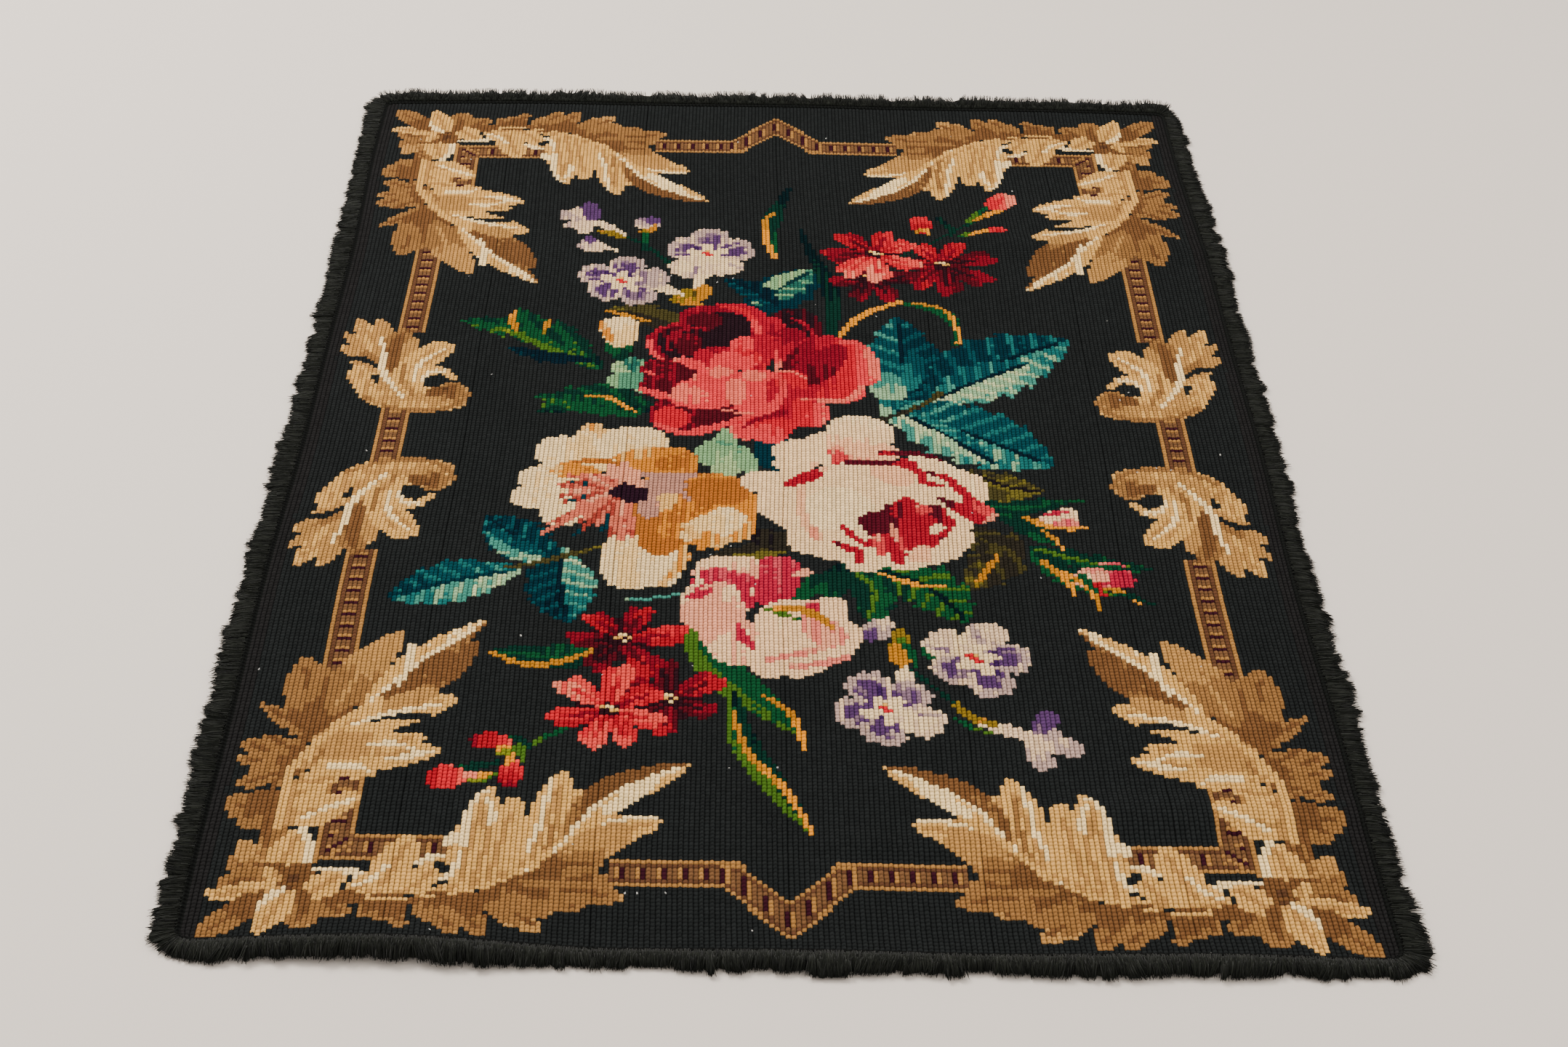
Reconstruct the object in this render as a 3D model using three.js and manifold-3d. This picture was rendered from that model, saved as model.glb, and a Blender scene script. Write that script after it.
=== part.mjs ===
// Needlepoint rug: a stitched canvas sheet with a cut wool fringe on its four edges.
// Millimetres, +Z up, the long way along Y, the origin under the middle of the rug.
import * as THREE from "three";
import { mergeVertices } from "three/addons/utils/BufferGeometryUtils.js";
import Module from "manifold-3d";

const wasm = await Module();
wasm.setup();

// Driving dimensions
const STITCH = 4.3; // pitch of the canvas
const CLOTH = { across: 226 * STITCH, along: 328 * STITCH, thick: 4 };
const CORNER = 13; // radius of the turned corners
const CELL = 31; // largest cell of the sheet's grid
const GAP = 0.3; // between the cloth and each fringe
const HEADING = { width: 5, thick: 4 };
const LOCK = { pitch: 17, root: 13.4, tip: 10.6, tipShare: 0.5, bury: 2, endRoom: 11 };
const SLANT = 0.1; // most sideways lean of a lock, as a share of its length
const COLOUR = { ground: 0x1c1f1e, fringe: 0x14171a };

// Slow waves of the cloth in its own plane, most at its edges: it was stretched unevenly.
// shift and by name the axis moved and the axis along which the wave runs.
const WAVES = [
  { shift: "x", by: "y", high: 2.2, turns: 1.3, phase: 0.4 },
  { shift: "x", by: "y", high: 0.9, turns: 3.6, phase: 2.1 },
  { shift: "y", by: "x", high: 2.4, turns: 0.9, phase: 4.3 },
  { shift: "y", by: "x", high: 0.8, turns: 3.1, phase: 1.2 },
];
// The near edge sags toward the right, and the far edge bows away in the middle.
const NEAR_SKEW = 5;
const FAR_BOW = 10;

// Where the cloth stands off the floor: soft ridges and the lifted near edge. Each is an
// ellipse with its middle, half lengths, turn in degrees and height.
const LIFTS = [
  { name: "near edge, left", x: -330, y: -735, long: 200, wide: 110, turn: 3, high: 12 },
  { name: "near edge, middle", x: 30, y: -732, long: 330, wide: 62, turn: 0, high: 5 },
  { name: "near edge, right", x: 330, y: -735, long: 230, wide: 66, turn: -2, high: 5.5 },
  { name: "ridge, lower right", x: 300, y: -545, long: 270, wide: 34, turn: 2, high: 5 },
  { name: "ridge below it", x: 150, y: -585, long: 210, wide: 24, turn: -3, high: 2.6 },
  { name: "ridge, upper right", x: 330, y: 378, long: 240, wide: 42, turn: -3, high: 3.6 },
  { name: "ridge, upper left", x: -60, y: 402, long: 190, wide: 34, turn: 2, high: 1.8 },
];

// Each side of the rug: how long and how full its fringe is, and how much the length varies.
const SIDES = [
  { name: "fringe_near", length: 19, full: 4.5, uneven: 0.16 },
  { name: "fringe_right", length: 20, full: 5, uneven: 0.2 },
  { name: "fringe_far", length: 22, full: 8, uneven: 0.18 },
  { name: "fringe_left", length: 20, full: 5, uneven: 0.2 },
];

const HALF = { x: CLOTH.across / 2, y: CLOTH.along / 2 };

/** Height of the cloth's underside over the floor at a place of the lying rug. */
function liftAt(x, y) {
  let lift = 0;
  for (const spot of LIFTS) {
    const turn = THREE.MathUtils.degToRad(spot.turn);
    const dx = x - spot.x;
    const dy = y - spot.y;
    const u = (dx * Math.cos(turn) + dy * Math.sin(turn)) / spot.long;
    const v = (dy * Math.cos(turn) - dx * Math.sin(turn)) / spot.wide;
    const inside = Math.max(0, 1 - u * u - v * v);
    lift += spot.high * inside * inside;
  }
  return lift;
}

/** Place of a point of the flat cloth once it lies with its uneven stretch. */
function laidOut(x, y) {
  const at = { x, y };
  const share = { x: x / HALF.x, y: y / HALF.y };
  for (const wave of WAVES) {
    const run = share[wave.by] * Math.PI * wave.turns + wave.phase;
    at[wave.shift] += wave.high * Math.sin(run);
  }
  const near = Math.max(0, -share.y);
  const far = Math.max(0, share.y);
  at.y -= NEAR_SKEW * near * near * share.x;
  at.y += FAR_BOW * far * far * (1 - share.x * share.x);
  return at;
}

/** Grid lines across one half length, with a short first and last cell for the corners. */
function gridLines(half) {
  const inner = 2 * (half - CORNER);
  const cells = Math.ceil(inner / CELL);
  const lines = [-half];
  for (let i = 0; i <= cells; i += 1) {
    lines.push(-half + CORNER + (inner * i) / cells);
  }
  lines.push(half);
  return lines;
}

const linesX = gridLines(HALF.x);
const linesY = gridLines(HALF.y);

/** Flat place of a grid point: the four corner points are drawn in to round the corner. */
function gridPoint(i, j) {
  const endX = i === 0 || i === linesX.length - 1;
  const endY = j === 0 || j === linesY.length - 1;
  const inset = endX && endY ? CORNER * (1 - Math.SQRT1_2) : 0;
  const x = linesX[i] - Math.sign(linesX[i]) * inset;
  const y = linesY[j] - Math.sign(linesY[j]) * inset;
  return laidOut(x, y);
}

/** Grid indices of the sheet's rim, counterclockwise from the near left corner. */
function rimIndices() {
  const lastI = linesX.length - 1;
  const lastJ = linesY.length - 1;
  const rim = [];
  for (let i = 0; i < lastI; i += 1) rim.push([i, 0]);
  for (let j = 0; j < lastJ; j += 1) rim.push([lastI, j]);
  for (let i = lastI; i > 0; i -= 1) rim.push([i, lastJ]);
  for (let j = lastJ; j > 0; j -= 1) rim.push([0, j]);
  return rim;
}

/** Geometry from vertex triples and index triples. */
function indexedGeometry(positions, indices) {
  const geometry = new THREE.BufferGeometry();
  geometry.setAttribute("position", new THREE.Float32BufferAttribute(positions, 3));
  geometry.setIndex(indices);
  geometry.computeVertexNormals();
  return geometry;
}

/** The sheet: an underside and a top of even thickness over the lift, joined by a rim wall. */
function clothGeometry() {
  const columns = linesX.length;
  const rows = linesY.length;
  const layer = columns * rows;
  const positions = [];
  for (const thick of [0, CLOTH.thick]) {
    for (let j = 0; j < rows; j += 1) {
      for (let i = 0; i < columns; i += 1) {
        const at = gridPoint(i, j);
        positions.push(at.x, at.y, liftAt(at.x, at.y) + thick);
      }
    }
  }
  const indices = [];
  for (let j = 0; j < rows - 1; j += 1) {
    for (let i = 0; i < columns - 1; i += 1) {
      const a = j * columns + i;
      const b = a + 1;
      const c = a + columns;
      const d = c + 1;
      const rising = (i < columns / 2) !== (j < rows / 2);
      const cell = rising ? [a, b, d, a, d, c] : [a, b, c, b, d, c];
      indices.push(...cell.map((corner) => corner + layer));
      indices.push(...cell.slice().reverse());
    }
  }
  const rim = rimIndices().map(([i, j]) => j * columns + i);
  rim.forEach((low, step) => {
    const next = rim[(step + 1) % rim.length];
    indices.push(low, next, next + layer, low, next + layer, low + layer);
  });
  return indexedGeometry(positions, indices);
}

/** Even, repeatable spread of numbers from 0 to 1 for the locks' differences. */
function spread(count, kind) {
  const raw = Math.sin(count * 12.9898 + kind * 78.233) * 43758.5453;
  return raw - Math.floor(raw);
}

/** Rim points of one side in order, each with its outward normal, ends at the corners. */
function sidePath(side) {
  const rim = rimIndices().map(([i, j]) => {
    const at = gridPoint(i, j);
    return new THREE.Vector2(at.x, at.y);
  });
  const counts = [linesX.length - 1, linesY.length - 1];
  const starts = [0, counts[0], counts[0] + counts[1], 2 * counts[0] + counts[1]];
  const length = counts[side % 2];
  const path = [];
  for (let step = 0; step <= length; step += 1) {
    const index = (starts[side] + step) % rim.length;
    const before = rim[(index + rim.length - 1) % rim.length];
    const after = rim[(index + 1) % rim.length];
    const along = after.clone().sub(before).normalize();
    path.push({ point: rim[index].clone(), normal: new THREE.Vector2(along.y, -along.x) });
  }
  const ends = [[path[0], path[1]], [path[length], path[length - 1]]];
  for (const [end, neighbour] of ends) {
    const inward = neighbour.point.clone().sub(end.point).normalize();
    end.point.addScaledVector(inward, GAP);
  }
  return path;
}

/** Closed solid from a geometry whose shared vertices are merged. */
function toSolid(geometry) {
  geometry.deleteAttribute("normal");
  geometry.deleteAttribute("uv");
  const merged = mergeVertices(geometry);
  const mesh = new wasm.Mesh({
    numProp: 3,
    vertProperties: new Float32Array(merged.attributes.position.array),
    triVerts: new Uint32Array(merged.index.array),
  });
  return new wasm.Manifold(mesh);
}

/** Solid swept through rings of the same number of points, with flat ends. */
function ringSolid(rings) {
  const size = rings[0].length;
  const positions = rings.flat(2);
  const indices = [];
  for (let ring = 0; ring < rings.length - 1; ring += 1) {
    for (let corner = 0; corner < size; corner += 1) {
      const a = ring * size + corner;
      const b = ring * size + ((corner + 1) % size);
      indices.push(a, b, b + size, a, b + size, a + size);
    }
  }
  const last = (rings.length - 1) * size;
  for (let corner = 1; corner < size - 1; corner += 1) {
    indices.push(0, corner + 1, corner);
    indices.push(last, last + corner, last + corner + 1);
  }
  return toSolid(indexedGeometry(positions, indices));
}

/** Four corners of a section that stands across the fringe at a point. */
function section(centre, across, half, low, high) {
  const left = centre.clone().addScaledVector(across, -half);
  const right = centre.clone().addScaledVector(across, half);
  return [
    [right.x, right.y, low],
    [left.x, left.y, low],
    [left.x, left.y, high],
    [right.x, right.y, high],
  ];
}

/** The heading that follows a side of the cloth, a little off it and as high off the floor. */
function headingSolid(path) {
  const rings = path.map(({ point, normal }) => {
    const lift = liftAt(point.x, point.y);
    const middle = point.clone().addScaledVector(normal, GAP + HEADING.width / 2);
    return section(middle, normal, HEADING.width / 2, lift, lift + HEADING.thick);
  });
  return ringSolid(rings);
}

/** Point and normal at a distance along a side's path. */
function alongPath(path, distance) {
  let left = distance;
  for (let step = 0; step < path.length - 1; step += 1) {
    const span = path[step + 1].point.distanceTo(path[step].point);
    if (left <= span || step === path.length - 2) {
      const share = left / span;
      const point = path[step].point.clone().lerp(path[step + 1].point, share);
      const normal = path[step].normal.clone().lerp(path[step + 1].normal, share).normalize();
      return { point, normal };
    }
    left -= span;
  }
  return path[path.length - 1];
}

/** One lock: it leaves the heading at its height and comes to rest level on the floor. */
function lockSolid({ point, normal }, length, full, lean, seed) {
  const tangent = new THREE.Vector2(normal.y, -normal.x);
  const lift = liftAt(point.x, point.y);
  const root = point.clone().addScaledVector(normal, GAP + HEADING.width - LOCK.bury);
  const reach = length - HEADING.width + LOCK.bury;
  const tip = root.clone().addScaledVector(normal, reach).addScaledVector(tangent, lean * reach);
  const narrow = 0.85 + 0.3 * spread(seed, 5);
  return ringSolid([
    section(root, tangent, LOCK.root / 2, lift, lift + full),
    section(tip, tangent, (LOCK.tip * narrow) / 2, 0, full * LOCK.tipShare),
  ]);
}

/** A side's heading with its row of locks, joined into one solid. */
function fringeGeometry(side) {
  const path = sidePath(side);
  const { length, full, uneven } = SIDES[side];
  let whole = 0;
  for (let step = 1; step < path.length; step += 1) {
    whole += path[step].point.distanceTo(path[step - 1].point);
  }
  const run = whole - 2 * LOCK.endRoom;
  const count = Math.round(run / LOCK.pitch) + 1;
  let solid = headingSolid(path);
  for (let lock = 0; lock < count; lock += 1) {
    const seed = side * 100 + lock;
    const place = alongPath(path, LOCK.endRoom + (run * lock) / (count - 1));
    const own = length * (1 + uneven * (2 * spread(seed, 1) - 1));
    const lean = SLANT * (2 * spread(seed, 2) - 1);
    solid = solid.add(lockSolid(place, own, full, lean, seed));
  }
  const mesh = solid.getMesh();
  return indexedGeometry(Array.from(mesh.vertProperties), Array.from(mesh.triVerts));
}

/** A named piece with its own wool finish. */
function piece(name, geometry, color) {
  const material = new THREE.MeshStandardMaterial({ color, roughness: 0.95, metalness: 0 });
  const mesh = new THREE.Mesh(geometry, material);
  mesh.name = name;
  return mesh;
}

const rug = new THREE.Group();
rug.name = "needlepoint_rug";
rug.add(piece("rug_cloth", clothGeometry(), COLOUR.ground));
SIDES.forEach((side, index) => {
  rug.add(piece(side.name, fringeGeometry(index), COLOUR.fringe));
});

// The origin lies under the middle of the whole rug.
const reach = new THREE.Box3().setFromObject(rug);
const middle = reach.getCenter(new THREE.Vector3());
rug.position.set(-middle.x, -middle.y, -reach.min.z);

export default rug;
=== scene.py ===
"""Needlepoint rug: thick wool cross-stitch on canvas, a bunch of flowers in a scroll frame.

Metres, +Z up, the long way along Y, the near edge at -Y, the origin under the middle.
"""

from __future__ import annotations

import logging  # noqa: E402
import math  # noqa: E402
from dataclasses import dataclass, field  # noqa: E402
from enum import Enum  # noqa: E402

import bpy  # noqa: E402
import numpy as np  # noqa: E402
from mathutils import Matrix, Vector  # noqa: E402


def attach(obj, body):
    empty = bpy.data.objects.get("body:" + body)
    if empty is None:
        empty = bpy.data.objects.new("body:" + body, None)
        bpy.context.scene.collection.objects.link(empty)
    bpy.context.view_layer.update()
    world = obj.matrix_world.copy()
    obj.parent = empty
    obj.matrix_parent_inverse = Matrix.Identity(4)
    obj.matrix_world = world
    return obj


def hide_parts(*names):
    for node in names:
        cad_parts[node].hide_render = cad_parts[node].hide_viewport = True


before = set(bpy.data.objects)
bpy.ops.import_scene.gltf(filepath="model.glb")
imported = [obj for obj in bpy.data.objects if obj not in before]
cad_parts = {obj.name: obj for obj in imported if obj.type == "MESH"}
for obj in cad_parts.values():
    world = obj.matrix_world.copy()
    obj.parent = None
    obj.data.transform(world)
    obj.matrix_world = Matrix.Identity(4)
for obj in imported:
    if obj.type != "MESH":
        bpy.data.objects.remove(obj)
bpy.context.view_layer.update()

LOG = logging.getLogger("needlepoint_rug")
MM = 0.001

# The canvas: its stitch pitch, its stitches across and along, and its thickness
STITCH = 4.3 * MM
COLUMNS = 226
ROWS = 328
THICK = 4.0 * MM
HALF_X = COLUMNS * STITCH / 2
HALF_Y = ROWS * STITCH / 2
CORNER = 13.0 * MM
FRAME_ROW = 162.0  # rows from the near edge to the middle of the border's frame
SELVEDGE_COLUMNS = 4

# How the wool shows a dye: a power that deepens each of red, green and blue as painted shade
# for the wool's own shadows, the share of it that the wool sends back, warmed as painted
# room light, and the pale haze of its fibres
SELF_SHADE_POWER = (1.2, 1.22, 0.98)
SHARE_UNDER_WARM_LIGHT = (0.62, 0.5, 0.27)
HAZE = (0.001, 0.0025, 0.004)


# Wools and chart
class Wool(Enum):
    """The families of wool, each a ramp from its darkest to its lightest dye (sRGB)."""

    GROUND = ("2a2e22",)
    SELVEDGE = ("2b2b1e",)
    TAN = ("614a27", "7b6034", "997c48", "b99a5f", "d8b977", "f8ecd6")
    BAND = ("42171c", "69502f", "7b633d", "a8894f")
    ROSE = ("2f1814", "5a0913", "8a1025", "ad1230", "c81a30", "de4a50", "e87f74")
    BLUSH = ("5d0f1c", "a5142b", "cc4a4c", "e09d8c", "ecc3af", "efdccb", "f2e5d8")
    CREAM = ("8a5a20", "ab7426", "cd922a", "dfc084", "ead5ab", "eee1cd")
    PINK = ("8a1130", "b32446", "c9586a", "de8d88", "e8b1a4", "efd8c8", "f2e3d6")
    STAMEN = ("31121a", "104048", "a04a36", "cc7c67", "dfa898", "b79592")
    VIOLET = ("462964", "60487f", "897a9d", "b9adc0", "dfd1d0", "eee2d8")
    TEAL = ("0a2529", "0b3a40", "0f545c", "1f777e", "4a9a9c", "93c0b2", "bcd6c6")
    MINT = ("133f3b", "2a7268", "5a9c88", "86b799", "a3c9ab")
    GREEN = ("082219", "0c3e26", "175c2e", "4f7a1c", "80921f")
    GOLD = ("544e0c", "8a7c12", "bc8d0c", "e0a414")
    OLIVE = ("24190f", "35331a", "4d4d1b", "6c6d20")
    RED = ("36110f", "5e0b14", "860f20", "ad1426", "cb2a34", "e05a52", "ec9484")
    YELLOW = ("6b2a14", "dcb766", "efe3b8")


def dye_table() -> tuple[np.ndarray, dict[Wool, int]]:
    """Lists every dye once.

    Returns:
        The sRGB colours as an (n, 3) array, and each family's first row in it.
    """
    colours: list[list[float]] = []
    first: dict[Wool, int] = {}
    for wool in Wool:
        first[wool] = len(colours)
        colours.extend([int(dye[i : i + 2], 16) / 255 for i in (0, 2, 4)] for dye in wool.value)
    return np.array(colours), first


DYES, FIRST_DYE = dye_table()
Point = tuple[float, float]


class Chart:
    """The stitch chart of the rug's face, one dye number a stitch.

    Places on it are in stitches from the middle of the border's frame, x to the right and
    y away from the near edge.
    """

    def __init__(self) -> None:
        """Starts with ground wool everywhere, and draws the unevenness of its shades."""
        self.ink = np.full((ROWS, COLUMNS), FIRST_DYE[Wool.GROUND], np.int16)
        self.x = np.arange(COLUMNS) + 0.5 - COLUMNS / 2
        self.y = np.arange(ROWS) + 0.5 - FRAME_ROW
        rng = np.random.default_rng(41)
        self.column_jog = rng.uniform(-1.0, 1.0, COLUMNS)
        self.speck = rng.uniform(-1.0, 1.0, (ROWS, COLUMNS))
        self.mirror = (1, 1)

    def window(self, points: np.ndarray, room: float) -> tuple[np.ndarray, np.ndarray, tuple]:
        """Cells about some points, in the mirrored places that motifs use.

        Args:
            points: (n, 2) places on the chart.
            room: Stitches of room around them.

        Returns:
            The cells' x and y as grids, and the index that picks them in the chart.
        """
        x, y = self.x * self.mirror[0], self.y * self.mirror[1]
        low, high = points.min(0) - room, points.max(0) + room
        columns = np.nonzero((x >= low[0]) & (x <= high[0]))[0]
        rows = np.nonzero((y >= low[1]) & (y <= high[1]))[0]
        grid_x, grid_y = np.meshgrid(x[columns], y[rows])
        return grid_x, grid_y, np.ix_(rows, columns)

    def lay(self, cells: tuple, mask: np.ndarray, wool: Wool, shade: np.ndarray | float) -> None:
        """Works the masked cells in a wool.

        Args:
            cells: The index that picks the window's cells.
            mask: Which of them are worked.
            wool: The wool's family.
            shade: Place on its ramp, 0 the darkest, rounded to whole dyes.
        """
        last = len(wool.value) - 1
        step = np.clip(np.rint(np.broadcast_to(shade, mask.shape)), 0, last).astype(np.int16)
        patch = self.ink[cells]
        patch[mask] = FIRST_DYE[wool] + step[mask]
        self.ink[cells] = patch

    def jog(self, cells: tuple) -> np.ndarray:
        """Uneven step of a shade's edge, mostly from column to column, from about -1 to 1."""
        rows, columns = cells
        return 0.75 * self.column_jog[columns] + 0.25 * self.speck[rows, columns]


@dataclass(frozen=True)
class Petal:
    """A rounded petal, lobe or tooth between a root and a tip, shaded along and across.

    It is a half ellipse from the root to its fullest place and a blunter half ellipse from
    there to the tip.

    Attributes:
        wool: Its family of wool.
        root: Place of its root.
        tip: Place of its tip.
        wide: Its half width where it is fullest, in stitches.
        shade: Shades at the root and at the tip, as places on the wool's ramp.
        tilt: How much lighter its left side is than its middle, seen from the root.
        full: Share of the length where it is fullest.
        blunt: 2 for a round tip, more for a squarer one, less for a pointed one.
        bend: How far its middle bows to the left, in stitches.
        ruffle: Number and depth of the waves round its edge.
        streak: How strongly single columns break the shading.
        vein: Shade of a line along its middle, or None.
    """

    wool: Wool
    root: Point
    tip: Point
    wide: float
    shade: tuple[float, float]
    tilt: float = 0.0
    full: float = 0.6
    blunt: float = 2.5
    bend: float = 0.0
    ruffle: tuple[float, float] = (0.0, 0.0)
    streak: float = 0.42
    vein: float | None = None

    def paint(self, chart: Chart) -> None:
        """Works the petal into the chart.

        Args:
            chart: The stitch chart.
        """
        root, axis = np.array(self.root), np.subtract(self.tip, self.root)
        length = float(np.hypot(*axis))
        axis = axis / length
        ends = np.array([self.root, self.tip])
        x, y, cells = chart.window(ends, self.wide + abs(self.bend) + 1)
        t = ((x - root[0]) * axis[0] + (y - root[1]) * axis[1]) / length
        side = (y - root[1]) * axis[0] - (x - root[0]) * axis[1] - self.bend * 4 * t * (1 - t)
        s = side / self.wide
        past = np.clip((t - self.full) / (1 - self.full), 0, None)
        short = np.clip((self.full - t) / self.full, 0, None)
        out = np.where(t > self.full, past**self.blunt + np.abs(s) ** self.blunt, short**2 + s**2)
        around = np.arctan2(s, (t - self.full) / (1 - self.full))
        count, depth = self.ruffle
        limit = 1 - depth * (0.5 + 0.5 * np.cos(count * around + length))
        shade = self.shade[0] + (self.shade[1] - self.shade[0]) * t + self.tilt * s
        shade = shade + self.streak * chart.jog(cells)
        if self.vein is not None:
            shade = np.where((np.abs(side) < 0.6) & (t > 0.1) & (t < 0.86), self.vein, shade)
        chart.lay(cells, out <= limit, self.wool, shade)


@dataclass(frozen=True)
class Stroke:
    """A tapering line along a bent path: a stem, blade, vein or rim.

    Attributes:
        wool: Its family of wool.
        path: Points that it bends through.
        wide: Its width at the start, middle and end, in stitches.
        dark: Shade at its start.
        light: Shade at its end.
    """

    wool: Wool
    path: tuple[Point, ...]
    wide: tuple[float, float, float] = (1.0, 1.0, 1.0)
    dark: float = 0.0
    light: float = 0.0

    def paint(self, chart: Chart) -> None:
        """Works the stroke into the chart.

        Args:
            chart: The stitch chart.
        """
        path = bent_line(self.path)
        x, y, cells = chart.window(path, max(self.wide))
        share, side = beside_line(path, x, y)
        half = np.interp(share, (0, 0.5, 1), self.wide) / 2
        shade = self.dark + (self.light - self.dark) * share + 0.25 * chart.jog(cells)
        chart.lay(cells, np.abs(side) <= np.maximum(half, 0.52), self.wool, shade)


def bent_line(points: tuple[Point, ...], steps: int = 10) -> np.ndarray:
    """Open Catmull-Rom curve: cubics that leave each point along its neighbours' direction.

    Args:
        points: Points that it bends through.
        steps: Steps between two of them.

    Returns:
        The curve's (n, 2) points.
    """
    p = np.array(points, float)
    p = np.vstack([2 * p[0] - p[1], p, 2 * p[-1] - p[-2]])
    t = (np.arange(steps) / steps)[:, None, None]
    a, b, c, d = p[:-3], p[1:-2], p[2:-1], p[3:]
    curve = 0.5 * (
        2 * b + (c - a) * t + (2 * a - 5 * b + 4 * c - d) * t**2 + (3 * b - a - 3 * c + d) * t**3
    )
    return np.vstack([curve.transpose(1, 0, 2).reshape(-1, 2), p[-2]])


def beside_line(path: np.ndarray, x: np.ndarray, y: np.ndarray) -> tuple[np.ndarray, ...]:
    """Nearest place of a line to each cell.

    Args:
        path: (n, 2) points of the line.
        x: The cells' x.
        y: The cells' y.

    Returns:
        The share of the line's length at that place from 0 to 1, and the distance with its
        sign, positive left of the line.
    """
    a, step = path[:-1], np.diff(path, axis=0)
    size = np.maximum((step**2).sum(1), 1e-9)
    dx = x - a[:, 0, None, None]
    dy = y - a[:, 1, None, None]
    sx, sy = step[:, 0, None, None], step[:, 1, None, None]
    t = np.clip((dx * sx + dy * sy) / size[:, None, None], 0, 1)
    off_x, off_y = dx - t * sx, dy - t * sy
    gap = np.hypot(off_x, off_y)
    nearest = gap.argmin(0)[None]
    lengths = np.sqrt(size)
    starts = np.concatenate([[0], np.cumsum(lengths)[:-1]])
    run = starts[:, None, None] + t * lengths[:, None, None]

    def pick(values: np.ndarray) -> np.ndarray:
        """The nearest segment's value for each cell."""
        return np.take_along_axis(values, nearest, 0)[0]

    side = np.sign(pick(sx * off_y - sy * off_x))
    return pick(run) / lengths.sum(), pick(gap) * np.where(side == 0, 1, side)


@dataclass(frozen=True)
class Leaf:
    """A leaf along a bent midrib, with two halves, veins and teeth.

    Attributes:
        wool: Its family of wool.
        rib: Points of the midrib from the root to the tip.
        wide: Largest half width, in stitches.
        left: Shades of the left half, at the root and at the tip.
        right: Shades of the right half, the same way.
        ribbed: Shade of the midrib, or None.
        veins: Number of side veins.
        vein: How much lighter the veins are than the half they cross.
        teeth: Number of teeth on each side, and their depth as a share of the width.
        root: Share of the full width that it has at the root.
    """

    wool: Wool
    rib: tuple[Point, ...]
    wide: float
    left: tuple[float, float]
    right: tuple[float, float]
    ribbed: float | None = None
    veins: float = 0
    vein: float = 1.0
    teeth: tuple[float, float] = (0, 0)
    root: float = 0.35

    def half_width(self, share: np.ndarray) -> np.ndarray:
        """Half width, rounded at the root and pointed at the tip.

        It rises by a power of a sine to its fullest place and falls by a power of a cosine,
        and each tooth takes off a share that grows along it.

        Args:
            share: Shares of the length, 0 at the root.

        Returns:
            The half widths in stitches.
        """
        fullest = 0.45
        rise = np.sin(0.5 * np.pi * np.clip(share / fullest, 0, 1)) ** 0.8
        fall = np.cos(0.5 * np.pi * np.clip((share - fullest) / (1 - fullest), 0, 1))
        body = np.where(share < fullest, self.root + (1 - self.root) * rise, fall**0.75)
        count, depth = self.teeth
        saw = (share * count) % 1.0
        return self.wide * body * (1 - depth * saw)

    def paint(self, chart: Chart) -> None:
        """Works the leaf into the chart.

        Args:
            chart: The stitch chart.
        """
        path = bent_line(self.rib)
        x, y, cells = chart.window(path, self.wide + 1)
        share, side = beside_line(path, x, y)
        half = self.half_width(share)
        out = np.abs(side) / max(self.wide, 1.0)
        left = self.left[0] + (self.left[1] - self.left[0]) * share
        right = self.right[0] + (self.right[1] - self.right[0]) * share
        shade = np.where(side > 0, left, right) + 0.3 * chart.jog(cells)
        if self.veins:
            comb = (share * self.veins - 1.1 * out) % 1.0
            shade = np.where((comb < 0.34) & (out > 0.08), shade + self.vein, shade)
        if self.ribbed is not None:
            shade = np.where((np.abs(side) < 0.6) & (share < 0.93), self.ribbed, shade)
        chart.lay(cells, np.abs(side) <= np.maximum(half, 0.4), self.wool, shade)


# Flowers
Motif = Petal | Stroke | Leaf


def petal(
    wool: Wool, x0: float, y0: float, x1: float, y1: float, wide: float, dark: float, light: float,
    **more: float | tuple[float, float],
) -> Petal:
    """A petal from its root's and its tip's place, half width, and shades at root and tip."""
    return Petal(wool, (x0, y0), (x1, y1), wide, (dark, light), **more)


def points(places: tuple[float, ...]) -> tuple[Point, ...]:
    """Pairs up a row of x and y in turn."""
    return tuple(zip(places[::2], places[1::2]))


def stroke(
    wool: Wool, start: float, middle: float, end: float, dark: float, light: float, *places: float,
) -> Stroke:
    """A stroke from its three widths, its shades at both ends, and each point's x and y."""
    return Stroke(wool, points(places), (start, middle, end), dark, light)


def leaf(
    wool: Wool, places: tuple[float, ...], wide: float, left0: float, left1: float,
    right0: float, right1: float, ribbed: float | None = None, veins: float = 0, vein: float = 1.0,
    **more: float | tuple,
) -> Leaf:
    """A leaf from its rib's places, half width, halves' shades, midrib's shade and veins."""
    halves = ((left0, left1), (right0, right1))
    return Leaf(wool, points(places), wide, *halves, ribbed, veins, vein, **more)


def work(chart: Chart, motifs: tuple[Motif, ...]) -> None:
    """Works motifs in order, each over the ones before it."""
    for motif in motifs:
        motif.paint(chart)


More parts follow.
